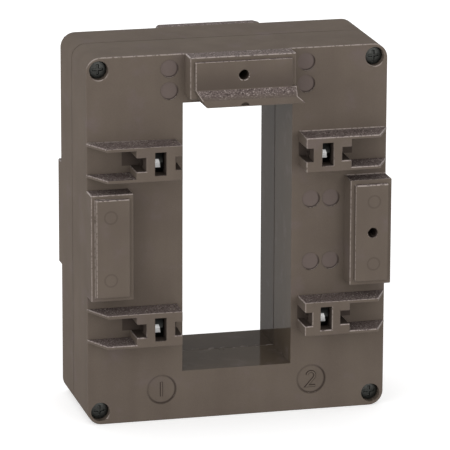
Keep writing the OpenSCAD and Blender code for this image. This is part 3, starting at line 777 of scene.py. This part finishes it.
@dataclass
class EasedPart:
    """A cut part of the construction, copied and with its sharp edges eased.

    The edges in the kept boxes stay hard. The shallow marks in the filled boxes are levelled. The
    window is given by half its width, its sill and its top. Angles are in degrees.
    """

    node: str
    finishes: tuple[str, ...]
    width: float = 0.3
    segments: int = 2
    sharp: float = 20.0
    share: float = 0.36
    flat_turn: float = 2.0
    merge_gap: float = 0.002
    merge_turn: float = 0.3
    kept: tuple[Box, ...] = ()
    filled: tuple[Box, ...] = ()
    face_y: float = FACE_Y
    window: Colour | None = None

    def fill(self, mesh: bpy.types.Mesh) -> None:
        """Levels shallow marks: each point in one of their boxes moves to the height of the face.

        Args:
            mesh: Mesh of the copy.
        """
        points = read(mesh.vertices, "co", 3)
        for box in self.filled:
            points[inside(points, box), 1] = self.face_y * MM
        mesh.vertices.foreach_set("co", points.ravel())

    def merged_copy(self) -> bpy.types.Object:
        """Copies the node, joins its loose triangles and dissolves its flat edges.

        Returns:
            The copy, before its edges are eased.
        """
        copy = place_object(self.node + "_eased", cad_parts[self.node].data.copy())
        self.fill(copy.data)
        bpy.context.view_layer.objects.active = copy
        for other in bpy.context.selected_objects:
            other.select_set(False)
        copy.select_set(True)
        bpy.ops.object.mode_set(mode="EDIT")
        bpy.ops.mesh.select_all(action="SELECT")
        bpy.ops.mesh.remove_doubles(threshold=self.merge_gap * MM)
        bpy.ops.mesh.dissolve_limited(angle_limit=math.radians(self.merge_turn))
        bpy.ops.object.mode_set(mode="OBJECT")
        return copy

    def weights(self, mesh: bpy.types.Mesh) -> tuple[np.ndarray, np.ndarray]:
        """Share of the full easing at each edge, and the edges that stay hard.

        The weight is zero on an edge that is flat, curved or concave, or whose middle lies in a
        kept box. On another sharp edge it follows the narrower face beside it. How wide a face is
        across the edge is its area over the edge's length where it has up to four sides, and else
        twice its area over its perimeter. The weight stops at one. An edge is convex where the
        middle of one face lies behind the plane of the other.

        Args:
            mesh: Merged mesh.

        Returns:
            One weight for each edge, and whether it is a sharp edge without easing.
        """
        table = EdgeTable(mesh)
        one, two = table.one, table.two
        areas, centres = read(mesh.polygons, "area"), read(mesh.polygons, "center", 3)
        wide = np.where(table.totals > 4, 2.0 * areas / table.around(), np.inf)
        across = np.minimum(np.minimum(wide[one], wide[two]),
                            np.minimum(areas[one], areas[two]) / table.length)
        weight = np.clip(across * self.share / (self.width * MM), 0.0, 1.0)
        middle = table.sides.mean(1)
        behind = (table.normals[one] * (centres[two] - middle)).sum(1)
        corner = table.pair & (table.turn > self.sharp)
        eased = corner & (behind < 0.0)
        for box in self.kept:
            eased &= ~inside(middle, box)
        return np.where(eased, weight, 0.0).astype(np.float32), corner & ~eased

    def line_window(self, mesh: bpy.types.Mesh) -> None:
        """Gives the walls of the busbar window their own finish, the second one of the piece.

        A face belongs to them where it doesn't look along Y and its centre lies on the window's
        rectangle or inside it.

        Args:
            mesh: Merged mesh.
        """
        half, low, top = self.window
        x, _, z = read(mesh.polygons, "center", 3).T / MM
        near = 0.01
        walls = (np.abs(x) < half + near) & (z > low - near) & (z < top + near)
        walls &= np.abs(read(mesh.polygons, "normal", 3)[:, 1]) < 0.5
        mesh.polygons.foreach_set("material_index", walls.astype(np.int32))

    def settle_normals(self, piece: bpy.types.Object) -> None:
        """Applies the easing, and turns each corner of a flat face to the face's own normal.

        A face counts as flat unless over half of its perimeter is shared, at a turn between the
        flat and the sharp angle, with a neighbour: then it is a strip of a round surface.

        Args:
            piece: Piece with its modifiers.
        """
        graph = bpy.context.evaluated_depsgraph_get()
        mesh = bpy.data.meshes.new_from_object(
            piece.evaluated_get(graph), preserve_all_data_layers=True, depsgraph=graph)
        piece.modifiers.clear()
        piece.data = mesh
        table = EdgeTable(mesh)
        smooth = (table.turn > self.flat_turn) & (table.turn < self.sharp)
        flat = table.around(smooth) < 0.5 * table.around()
        corners = np.where(flat[table.loop_face][:, None], table.normals[table.loop_face],
                           read(mesh.corner_normals, "vector", 3))
        mesh.normals_split_custom_set(corners.tolist())

    def build(self, finishes: Finishes) -> None:
        """Builds the eased piece in place of its node.

        Args:
            finishes: Finishes of the transformer.
        """
        piece = self.merged_copy()
        mesh = piece.data
        shares, hard = self.weights(mesh)
        mesh.attributes.new("bevel_weight_edge", "FLOAT", "EDGE").data.foreach_set("value", shares)
        finishes.dress(piece, *self.finishes)
        if self.window:
            self.line_window(mesh)
        mesh.shade_smooth()
        mesh.edges.foreach_set("use_edge_sharp", hard)
        edge_finish = len(self.finishes) - 1 if len(self.finishes) > 1 else -1
        put(piece.modifiers.new("eased_edges", "BEVEL"), width=self.width * MM,
            segments=self.segments, limit_method="WEIGHT", use_clamp_overlap=False,
            material=edge_finish, miter_outer="MITER_SHARP", face_strength_mode="FSTR_ALL")
        put(piece.modifiers.new("even_normals", "WEIGHTED_NORMAL"), mode="FACE_AREA", weight=100,
            keep_sharp=True, use_face_influence=True)
        self.settle_normals(piece)
        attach(piece, BODY)
        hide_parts(self.node)


def grid_quads(rows: int, columns: int, wrap_rows: bool, start: int) -> np.ndarray:
    """Quads of a grid whose columns close into rings.

    Args:
        rows: Number of rings.
        columns: Number of points in a ring.
        wrap_rows: Whether the last ring joins the first.
        start: Index of the first point.

    Returns:
        Point indices, n by 4.
    """
    row = np.arange(rows if wrap_rows else rows - 1)[:, None]
    column = np.arange(columns)[None, :]
    after, beside = (row + 1) % rows, (column + 1) % columns
    quads = [row * columns + column, row * columns + beside, after * columns + beside,
             after * columns + column]
    return np.stack(quads, -1).reshape(-1, 4) + start


@dataclass
class RingPiece:
    """One piece of grids whose columns close into rings.

    A grid is rows by columns by 3. Its rows close as well where closed is set, and else its first
    and last ring carry flat caps. The piece stands for a node where one is named.
    """

    name: str
    finish: str
    node: str | None
    closed: bool = False
    sharp: float = 32.0

    def build(self, grids: Sequence[np.ndarray], finishes: Finishes) -> bpy.types.Object:
        """Builds the piece, with its faces outwards and its edges sharp above an angle.

        Args:
            grids: Grids of points.
            finishes: Finishes of the transformer.

        Returns:
            The piece.
        """
        faces: list = []
        start = 0
        for grid in grids:
            rows, columns = grid.shape[:2]
            faces += grid_quads(rows, columns, self.closed, start).tolist()
            if not self.closed:
                last = start + (rows - 1) * columns
                faces += [list(range(ring, ring + columns)) for ring in (start, last)]
            start += rows * columns
        points = np.concatenate([grid.reshape(-1, 3) for grid in grids])
        piece = new_piece(self.name, points, faces)
        work = bmesh.new()
        work.from_mesh(piece.data)
        bmesh.ops.recalc_face_normals(work, faces=work.faces)
        work.to_mesh(piece.data)
        work.free()
        finishes.dress(piece, self.finish)
        piece.data.shade_smooth()
        piece.data.set_sharp_from_angle(angle=math.radians(self.sharp))
        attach(piece, BODY)
        if self.node:
            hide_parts(self.node)
        return piece


def ramp(value: np.ndarray) -> np.ndarray:
    """Smooth step from 0 to 1: 3 v squared less 2 v cubed, with v held between 0 and 1."""
    held = np.clip(value, 0.0, 1.0)
    return held * held * (3.0 - 2.0 * held)


def ridge(turns: np.ndarray) -> np.ndarray:
    """Triangle wave with the period 1: 1 at whole numbers and 0 half way between them."""
    return np.abs(2.0 * (turns - np.floor(turns)) - 1.0)


def angles(count: int) -> np.ndarray:
    """Even steps of a full turn, without its end."""
    return np.arange(count) * (TURN / count)


def ring_points(turns: np.ndarray) -> np.ndarray:
    """Points of the unit circle at some angles, n by 2."""
    return np.stack([np.cos(turns), np.sin(turns)], -1)


@dataclass
class ClampNuts:
    """Four hexagon nuts with chamfered corners and a thread, deep in the pockets of the seats."""

    flats: float = 7.0
    height: float = 3.2
    face_r: float = 3.3
    chamfer: float = 30.0
    bore_r: float = 1.65
    thread_r: float = 2.0
    pitch: float = 0.7
    mouth: float = 0.4
    run_out: float = 0.2
    broken_edge: float = 0.09
    broken_turn: float = 40.0
    x: float = NUT_X
    y: float = NUT_Y
    mid_z: float = MID_Z
    step: float = SEAT_STEP
    columns: int = 72
    thread_rows: int = 28

    def nut(self, x: float, z: float) -> np.ndarray:
        """Grid of one nut, whose rows run round its wall and close.

        With a the angle round the axis, counted from Z, and b the angle from the middle of the
        nearest flat, the side of the nut is h = half the flats over cos b from the axis. The
        chamfer is the cone that meets it at half the height less (h - face radius) times the
        chamfer's tangent. The thread's radius is the bore plus its depth times a triangle wave of
        the place along the axis over the pitch, less a over a full turn.

        Args:
            x: Place along X.
            z: Place along Z.

        Returns:
            The points.
        """
        a = angles(self.columns)
        sixth = TURN / 6.0
        b = np.mod(a + sixth / 2.0, sixth) - sixth / 2.0
        side = self.flats / 2.0 / np.cos(b)
        half = self.height / 2.0
        meet = half - (side - self.face_r) * math.tan(math.radians(self.chamfer))
        one = np.ones(self.columns)
        end = half - self.mouth
        along = np.linspace(-end, end, self.thread_rows)[:, None]
        fade = ramp((end - np.abs(along)) / self.run_out)
        cut = (self.thread_r - self.bore_r) * ridge(along / self.pitch - a / TURN) * fade
        radius = np.vstack([one * self.thread_r, one * self.face_r, side, side, one * self.face_r,
                            one * self.thread_r, self.bore_r + cut])
        place = np.vstack([one * half, one * half, meet, -meet, -one * half, -one * half,
                           along + 0.0 * cut])
        return np.stack([x + place, self.y + radius * np.sin(a), z + radius * np.cos(a)], -1)

    def build(self, finishes: Finishes) -> None:
        """Builds the nuts as one piece with slightly broken edges.

        Args:
            finishes: Finishes of the transformer.
        """
        grids = [self.nut(side * self.x, self.mid_z + up * self.step)
                 for side in (-1, 1) for up in (-1, 1)]
        shape = RingPiece("clamp_nuts_threaded", "nut_zinc", "clamp_nuts", closed=True)
        put(shape.build(grids, finishes).modifiers.new("broken_edges", "BEVEL"),
            width=self.broken_edge * MM, segments=2, angle_limit=math.radians(self.broken_turn))


class Drive(Enum):
    """Recess in a screw's head."""

    CROSS = "cross"
    SLOT_AND_CROSS = "slot and cross"


@dataclass
class ThreadedScrews:
    """Screws of one kind along Y, each with a domed head, a recess for the driver and a thread.

    The tops of the heads are at outer_y, and inward is the sign of Y on the way into the case.
    """

    node: str
    finish: str
    places: tuple[tuple[float, float], ...]
    outer_y: float
    inward: float
    head_r: float
    head_h: float
    shank_r: float
    shank_l: float
    pitch: float
    drive: Drive
    arm_w: float
    arm_l: float
    depth: float
    dome: float = 0.35
    rim_top: float = 0.12
    rim_low: float = 0.08
    rim_in: float = 0.97
    thread_h: float = 0.3
    tip_turns: float = 1.5
    tip_share: float = 0.35
    arm_soft: float = 0.14
    columns: int = 72
    head_rows: int = 26
    rows_per_turn: int = 6

    def recess(self, x: np.ndarray, z: np.ndarray) -> np.ndarray:
        """Depth of the driver's recess.

        One arm is a smooth step of the way in from its long sides times one of the way in from its
        ends, and the recess is the deeper of the arm and the same arm turned a quarter. A slot is
        an arm without ends.

        Args:
            x: Places across the head.
            z: Places up the head.

        Returns:
            The depth.
        """
        long = [ramp((self.arm_w / 2.0 - np.abs(u)) / self.arm_soft) for u in (x, z)]
        ends = [ramp((self.arm_l / 2.0 - np.abs(u)) / self.arm_soft / 2.0) for u in (z, x)]
        arms = [side * end for side, end in zip(long, ends)]
        if self.drive is Drive.SLOT_AND_CROSS:
            arms.append(long[1])
        return self.depth * np.maximum.reduce(arms)

    def screw(self, x: float, z: float) -> np.ndarray:
        """Grid of one screw, from the middle of its head to its tip.

        The head is a dome, whose depth below its top is the dome's height times the squared share
        of its radius, with the recess taken out of it. The shank's radius is less by the thread's
        height times a triangle wave of the place along it over the pitch, less the angle over a
        full turn.

        Args:
            x: Place along X.
            z: Place along Z.

        Returns:
            The points.
        """
        a = angles(self.columns)
        share = np.linspace(0.03, 0.96, self.head_rows)[:, None]
        radius = share * self.head_r + 0.0 * a
        sink = self.dome * share ** 2 + self.recess(radius * np.sin(a), radius * np.cos(a))
        rim = np.array([[1.0, self.dome + self.rim_top], [1.0, self.head_h - self.rim_low],
                        [self.rim_in, self.head_h]])
        rows = int(self.shank_l / self.pitch * self.rows_per_turn)
        along = np.linspace(0.0, self.shank_l, rows)[:, None]
        left = (self.shank_l - along) / self.pitch
        fade = ramp(along / self.pitch) * ramp(left * 1.5 + 0.2)
        wave = ridge(along / self.pitch - a / TURN)
        taper = np.clip(left / self.tip_turns, self.tip_share, 1.0)
        shank = (self.shank_r - self.thread_h * (1.0 - wave) * fade) * taper
        radius = np.vstack([radius, rim[:, :1] * self.head_r + 0.0 * a, shank])
        sink = np.vstack([sink, rim[:, 1:] + 0.0 * a, self.head_h + along + 0.0 * a])
        return np.stack([x + radius * np.sin(a), self.outer_y + self.inward * sink,
                         z + radius * np.cos(a)], -1)

    def build(self, finishes: Finishes) -> None:
        """Builds all screws of the kind as one piece."""
        shape = RingPiece(self.node + "_threaded", self.finish, self.node, sharp=38.0)
        shape.build([self.screw(x, z) for x, z in self.places], finishes)


class Glyph(Enum):
    """A plain mark."""

    ONE = "one"
    TWO = "two"
    BAR = "bar"


@dataclass
class FaceMarks:
    """Raised strokes in the sunk round fields of both faces, level with the face."""

    field_x: float = MARK_X
    field_z: float = MARK_Z
    face_y: tuple[float, float] = (FACE_Y, BACK_Y)
    sunk: float = 0.3
    half_h: float = 2.3
    flag: float = 1.1
    arc_r: float = 1.25
    arc_ends: tuple[float, float] = (170.0, -35.0)
    foot: tuple[float, float] = (-1.3, 1.4)
    stroke_w: float = 0.9
    least_cosine: float = 0.4
    section_x: tuple[float, ...] = (-1.0, -0.92, -0.45, 0.45, 0.92, 1.0)
    section_h: tuple[float, ...] = (-0.1, 0.3, 1.0, 1.0, 0.3, -0.1)

    def path(self, glyph: Glyph) -> np.ndarray:
        """Middle line of a mark as seen from in front of it.

        The numeral two is an arc between two angles, a straight line to the left end of the foot,
        and the foot. The numeral one is a short flag and an upright.

        Args:
            glyph: Mark to draw.

        Returns:
            Points, n by 2.
        """
        top, low = self.half_h, -self.half_h
        if glyph is Glyph.BAR:
            return np.array([[0.0, top], [0.0, low]])
        if glyph is Glyph.ONE:
            return np.array([[-self.flag, top - self.flag], [0.0, top], [0.0, low]])
        arc = self.arc_r * ring_points(np.radians(np.linspace(*self.arc_ends, 20)))
        return np.vstack([arc + [0.0, top - self.arc_r], [[end, low] for end in self.foot]])

    def stroke(self, path: np.ndarray, x: float, face_y: float, toward: float) -> np.ndarray:
        """Grid of a stroke: a flat topped section carried along the path.

        At each point the section stands square to the mean direction of the two parts of the path
        beside it, and is widened by one over the cosine of half the turn between them.

        Args:
            path: Middle line.
            x: Place of the mark along X.
            face_y: Height of the face along Y.
            toward: -1 where the face looks towards -Y, and 1 where it looks towards +Y.

        Returns:
            The points.
        """
        way = np.diff(path, axis=0)
        way /= np.linalg.norm(way, axis=1, keepdims=True)
        before, after = np.vstack([way[:1], way]), np.vstack([way, way[-1:]])
        mean = before + after
        mean /= np.linalg.norm(mean, axis=1, keepdims=True)
        widen = 1.0 / np.maximum((mean * before).sum(1), self.least_cosine)
        side = np.stack([-mean[:, 1], mean[:, 0]], -1) * widen[:, None] * self.stroke_w / 2.0
        flat = path[:, None] + side[:, None] * np.array(self.section_x)[:, None]
        y = face_y + toward * self.sunk * (np.array(self.section_h) - 1.0)
        return np.stack([x - toward * flat[..., 0], y + 0.0 * flat[..., 0],
                         self.field_z + flat[..., 1]], -1)

    def build(self, finishes: Finishes) -> None:
        """Builds the marks of both faces.

        Args:
            finishes: Finishes of the transformer.
        """
        near, far = self.face_y
        for name, numeral, face_y, toward in (("marks_p2", Glyph.TWO, near, -1.0),
                                              ("marks_p1", Glyph.ONE, far, 1.0)):
            grids = [self.stroke(self.path(glyph), toward * side * self.field_x, face_y, toward)
                     for glyph, side in ((Glyph.BAR, 1.0), (numeral, -1.0))]
            RingPiece(name, "case_mark", None).build(grids, finishes)


class Wrap(Enum):
    """What the outside of a sleeve round a limb shows."""

    TURNS = "turns of wire"
    LAPS = "laps of tape"


@dataclass
class LimbSleeve:
    """Winding or tape round one limb of the boxed core, with half sizes outside and inside."""

    node: str
    finish: str
    x: float
    wrap: Wrap
    outer: tuple[float, float]
    corner: float
    inner: tuple[float, float]
    inner_corner: float
    pitch: float
    relief: float
    mid_y: float = -1.5
    low: float = LIMB_LOW
    top: float = LIMB_TOP
    lap_rise: float = 0.9
    lap_drop: float = 0.06
    columns: int = 112
    rows_per_turn: int = 6

    def outline(self, half: tuple[float, float], corner: float) -> np.ndarray:
        """Points spaced evenly along a rounded rectangle.

        The four quarter arcs of the corners are joined by straight lines, and the points are read
        off at even steps of the length along them.

        Args:
            half: Half width and half depth.
            corner: Radius of the corners.

        Returns:
            Points, n by 2.
        """
        steps = 64
        circle = ring_points(angles(steps) + TURN / steps / 2.0)
        line = np.sign(circle) * (np.array(half) - corner) + corner * circle
        line = np.vstack([line, line[:1]])
        parts = np.linalg.norm(np.diff(line, axis=0), axis=1)
        length = np.concatenate([[0.0], np.cumsum(parts)])
        at = np.linspace(0.0, length[-1], self.columns, endpoint=False)
        return np.stack([np.interp(at, length, part) for part in line.T], -1)

    def grid(self) -> np.ndarray:
        """Grid of the sleeve, whose rows run up its outside and down its inside and close.

        With t the height over the pitch, less the share of the way round, a wire's turn stands in
        from the outer size by its radius less the root of its squared radius less the squared
        distance from the turn's middle, and a lap of tape by its relief times a smooth step of the
        fraction of t.

        Returns:
            The points.
        """
        rows = int((self.top - self.low) / self.pitch * self.rows_per_turn) + 1
        height = np.linspace(self.low, self.top, rows)[:, None]
        turns = (height - self.low) / self.pitch - np.arange(self.columns) / self.columns
        part = turns - np.floor(turns)
        if self.wrap is Wrap.TURNS:
            radius = self.pitch / 2.0
            root = np.sqrt(np.maximum(radius ** 2 - ((part - 0.5) * self.pitch) ** 2, 0.0))
            sink = np.minimum(radius - root, self.relief)
        else:
            sink = self.relief * ramp(part / self.lap_rise) * ramp((1.0 - part) / self.lap_drop)
        outer = self.outline(self.outer, self.corner)
        one_in = (self.outer[0] - 1.0, self.outer[1] - 1.0)
        inward = self.outline(one_in, max(self.corner - 1.0, 0.2)) - outer
        inner = self.outline(self.inner, self.inner_corner)
        flat = np.concatenate([outer + inward * sink[..., None], inner[None], inner[None]])
        z = np.vstack([height, [[self.top], [self.low]]]) + 0.0 * flat[..., 0]
        return np.dstack([self.x + flat[..., 0], self.mid_y + flat[..., 1], z])

    def build(self, finishes: Finishes) -> None:
        """Builds the sleeve in place of its node."""
        shape = RingPiece(f"{self.node}_{self.wrap.name.lower()}", self.finish, self.node,
                          closed=True, sharp=50.0)
        shape.build([self.grid()], finishes)


@dataclass
class WireRuns:
    """The link between the windings, the two leads and their sleeves."""

    limb_x: float = LIMB_X
    y: float = 11.1
    radius: float = 0.8
    bend: float = 4.0
    link_z: float = 10.5
    straight: float = 6.0
    low: float = LIMB_LOW
    top: float = LIMB_TOP
    tag_z: float = 92.8
    sleeve: tuple[float, float] = (0.9, 1.4)
    sleeve_end: float = 1.0
    columns: int = 24
    bend_rows: int = 13

    def tube(self, path: np.ndarray, radius: float) -> np.ndarray:
        """Grid of a round wire: a circle carried along a path in XZ, square to its direction.

        Args:
            path: Points, n by 2.
            radius: Radius of the wire.

        Returns:
            The points.
        """
        way = np.gradient(path, axis=0)
        way /= np.linalg.norm(way, axis=1, keepdims=True)
        a = angles(self.columns)
        side = np.stack([-way[:, 1], way[:, 0]], -1)[:, None] * np.cos(a)[:, None]
        flat = path[:, None] + side * radius
        y = self.y + radius * np.sin(a) + 0.0 * flat[..., 0]
        return np.stack([flat[..., 0], y, flat[..., 1]], -1)

    def link_path(self) -> np.ndarray:
        """Path of the link: down the left side, a quarter turn, across, a quarter turn and up.

        Returns:
            Points, n by 2.
        """
        quarter = np.radians(np.linspace(180.0, 270.0, self.bend_rows))
        turn = self.bend * (1.0 + ring_points(quarter)) + [-self.limb_x, self.link_z]
        down = [[-self.limb_x, self.low], [-self.limb_x, self.low - self.straight]]
        left = np.vstack([down, turn])
        return np.vstack([left, left[::-1] * [-1.0, 1.0]])

    def build(self, finishes: Finishes) -> None:
        """Builds the five pieces in place of their nodes.

        Args:
            finishes: Finishes of the transformer.
        """
        link = RingPiece("series_link_wire", "enamelled_copper", "series_link")
        link.build([self.tube(self.link_path(), self.radius)], finishes)
        for side, x in (("s1", -self.limb_x), ("s2", self.limb_x)):
            ends = np.array([[x, self.top], [x, self.tag_z]])
            lead = RingPiece(f"lead_{side}_wire", "enamelled_copper", f"lead_{side}")
            lead.build([self.tube(ends, self.radius)], finishes)
            ends[1, 1] -= self.sleeve_end
            inner, outer = (self.tube(ends, radius) for radius in self.sleeve)
            node = f"lead_sleeve_{side}"
            sleeve = RingPiece(node + "_tube", "lead_sleeve", node, closed=True)
            sleeve.build([np.concatenate([outer, inner[::-1]])], finishes)


def away(azimuth: float, elevation: float) -> np.ndarray:
    """Unit vector from the object to what looks at it.

    It is sin a cos e along X, less cos a cos e along Y and sin e along Z.

    Args:
        azimuth: Angle a in degrees, from the P2 side towards the right.
        elevation: Angle e in degrees above the floor.

    Returns:
        The vector.
    """
    a, e = math.radians(azimuth), math.radians(elevation)
    return np.array([math.sin(a) * math.cos(e), -math.cos(a) * math.cos(e), math.sin(e)])


@dataclass
class Softbox:
    """A square lamp that looks at the middle of the transformer, in metres and watts."""

    name: str
    azimuth: float
    elevation: float
    distance: float
    size: float
    power: float

    def build(self, target: np.ndarray) -> None:
        """Places the lamp at its distance from the target, towards its azimuth and elevation.

        Args:
            target: Point that the lamp looks at, in metres.
        """
        way = away(self.azimuth, self.elevation)
        light = bpy.data.lights.new(self.name, "AREA")
        put(light, shape="SQUARE", size=self.size, energy=self.power)
        put(place_object(self.name, light), location=target + way * self.distance,
            rotation_euler=Vector(-way).to_track_quat("-Z", "Y").to_euler())
        LOG.info("lamp %s", self.name)


@dataclass
class Studio:
    """Camera, lamps, floor and background. The floor and the clipping are in metres."""

    azimuth: float = -14.14
    elevation: float = 15.14
    distance: float = 1214.0
    target: Colour = (-3.85, -20.0, 60.56)
    roll: float = 0.21
    focal_pixels: float = 4009.0
    image_pixels: float = 450.0
    sensor: float = 36.0
    clip_end: float = 20.0
    floor_half: float = 4.0
    floor_diffuse: float = 0.78
    floor_glow: float = 0.5
    world_light: float = 0.75
    lit_point: Colour = (0.0, -1.5, 57.0)
    lamps: tuple[Softbox, ...] = field(default_factory=lambda: (
        Softbox("left_softbox", -62.0, 8.0, 1.3, 1.2, 7.5),
        Softbox("right_softbox", 45.0, 5.0, 1.4, 1.2, 2.0),
        Softbox("front_softbox", 12.0, 2.0, 1.6, 0.8, 8.0),
        Softbox("back_softbox", -170.0, 20.0, 1.6, 1.2, 4.5),
    ))

    def camera(self) -> None:
        """Places the camera at the photograph's azimuth and elevation, with a slight roll."""
        way = away(self.azimuth, self.elevation)
        data = bpy.data.cameras.new("camera")
        put(data, sensor_width=self.sensor, clip_end=self.clip_end,
            lens=self.focal_pixels / self.image_pixels * self.sensor)
        roll = Quaternion((0, 0, 1), math.radians(self.roll))
        camera = place_object("camera", data)
        put(camera, location=(np.array(self.target) + way * self.distance) * MM,
            rotation_euler=(Vector(-way).to_track_quat("-Z", "Y") @ roll).to_euler())
        bpy.context.scene.camera = camera

    def seen(self, nodes: Nodes) -> Value:
        """Tells the rays from the camera, off a gloss or through glass.

        Args:
            nodes: Material or world that is written.

        Returns:
            One for such a ray, else zero.
        """
        camera, gloss, glass = (nodes.make("ShaderNodeLightPath", {}, f"Is {kind} Ray")
                                for kind in ("Camera", "Glossy", "Transmission"))
        return camera | gloss | glass

    def floor(self) -> None:
        """Makes the pale floor, a diffuse surface with a glow that only seen rays meet."""
        half = self.floor_half / MM
        corners = [[-half, -half, 0], [half, -half, 0], [half, half, 0], [-half, half, 0]]
        floor = new_piece("floor", np.array(corners), [[0, 1, 2, 3]])
        nodes = Nodes(bpy.data.materials.new("floor"))
        glow = nodes.make("ShaderNodeEmission", {"Strength": self.seen(nodes) * self.floor_glow})
        diffuse = nodes.make("ShaderNodeBsdfDiffuse", {"Color": (self.floor_diffuse,) * 3})
        both = nodes.make("ShaderNodeAddShader", {0: glow, 1: diffuse})
        tree = nodes.tree.nodes
        nodes.feed(tree["Material Output"], {"Surface": both})
        tree.remove(tree["Principled BSDF"])
        floor.data.materials.append(nodes.owner)

    def background(self) -> None:
        """Sets the world: white where it is seen, and a low even light on the object."""
        world = bpy.data.worlds.new("studio")
        bpy.context.scene.world = world
        nodes = Nodes(world)
        strength = self.seen(nodes).span(0.0, 1.0, self.world_light, 1.0)
        nodes.feed(nodes.tree.nodes["Background"],
                   {"Color": (1.0, 1.0, 1.0), "Strength": strength})

    def build(self) -> None:
        """Builds the whole studio."""
        bpy.context.scene.view_settings.view_transform = "Standard"
        self.camera()
        self.floor()
        self.background()
        for lamp in self.lamps:
            lamp.build(np.array(self.lit_point) * MM)


def case_parts() -> tuple[EasedPart, ...]:
    """Lists the cut parts of the construction that keep their shape and get eased edges.

    Returns:
        The parts, each with its finishes and the boxes where its edges differ.
    """
    window = (WINDOW_HALF, 15.3, 99.3)
    finishes = ("case_plastic", "case_window", "case_edge")
    tongue = ((-50.0, -1.8, -1.0), (50.0, 0.2, 120.0))
    dimple = ((-1.6, -30.0, 99.5), (1.6, -27.0, 101.2))
    lip_edge = ((-WINDOW_HALF, -29.5, 101.2), (WINDOW_HALF, -28.5, 101.8))
    left_discs = ((-32.1, -20.05, 44.5), (-20.2, -19.7, 70.1))
    small = (("terminal_cover_s1", "cover_plastic", 0.2),
             ("terminal_cover_s2", "cover_plastic", 0.2),
             ("terminal_plate_s1", "terminal_brass", 0.15),
             ("terminal_plate_s2", "terminal_brass", 0.15),
             ("terminal_washers", "zinc_bright", 0.15),
             ("core_pads", "pad_rubber", 0.2))
    return (EasedPart("case_half_p2", finishes, kept=(tongue, dimple, lip_edge),
                      filled=(left_discs,), window=window),
            EasedPart("case_half_p1", finishes, kept=(tongue,), window=window),
            *(EasedPart(node, (finish,), width) for node, finish, width in small))


def screws() -> tuple[ThreadedScrews, ...]:
    """Lists both kinds of screws, with their places on all four corners and on both terminals.

    Returns:
        The case screws and the terminal screws.
    """
    corners = tuple((side * 42.7, z) for side in (-1, 1) for z in (4.0, 110.4))
    terminals = tuple((side * (LIMB_X + step), 100.8) for side in (-1, 1) for step in (-5.0, 5.0))
    return (ThreadedScrews("case_screws", "dark_steel", corners, outer_y=-18.2, inward=1.0,
                           head_r=2.7, head_h=2.2, shank_r=1.45, shank_l=28.5, pitch=1.3,
                           drive=Drive.CROSS, arm_w=0.8, arm_l=3.4, depth=0.5),
            ThreadedScrews("terminal_screws", "zinc_bright", terminals, outer_y=22.8, inward=-1.0,
                           head_r=3.5, head_h=2.6, shank_r=2.0, shank_l=8.7, pitch=0.7,
                           drive=Drive.SLOT_AND_CROSS, arm_w=1.0, arm_l=4.4, depth=1.2))


def limb_sleeves() -> tuple[LimbSleeve, ...]:
    """Lists what is wound round both limbs.

    Returns:
        The winding and the tape of the left limb, then those of the right one.
    """
    return tuple(sleeve for side, x in (("left", -LIMB_X), ("right", LIMB_X)) for sleeve in (
        LimbSleeve(f"winding_{side}", "enamelled_copper", x, Wrap.TURNS, outer=(8.85, 14.6),
                   corner=2.0, inner=(4.85, 10.6), inner_corner=0.1, pitch=1.6, relief=0.45),
        LimbSleeve(f"winding_tape_{side}", "winding_tape", x, Wrap.LAPS, outer=(9.35, 15.1),
                   corner=2.4, inner=(8.95, 14.7), inner_corner=2.0, pitch=9.0, relief=0.12)))


def main() -> None:
    """Builds the studio and the transformer, and dresses every piece."""
    logging.basicConfig(level=logging.INFO, format="%(name)s: %(message)s")
    Studio().build()
    finishes = Finishes()
    for part in (*case_parts(), ClampNuts(), *screws(), FaceMarks(), *limb_sleeves(), WireRuns()):
        part.build(finishes)
    for node, finish in (("wound_core", "core_strip"), ("core_box_p2", "core_box_plastic"),
                         ("core_box_p1", "core_box_plastic")):
        finishes.lay(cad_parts[node], finish)


if __name__ == "__main__":
    main()
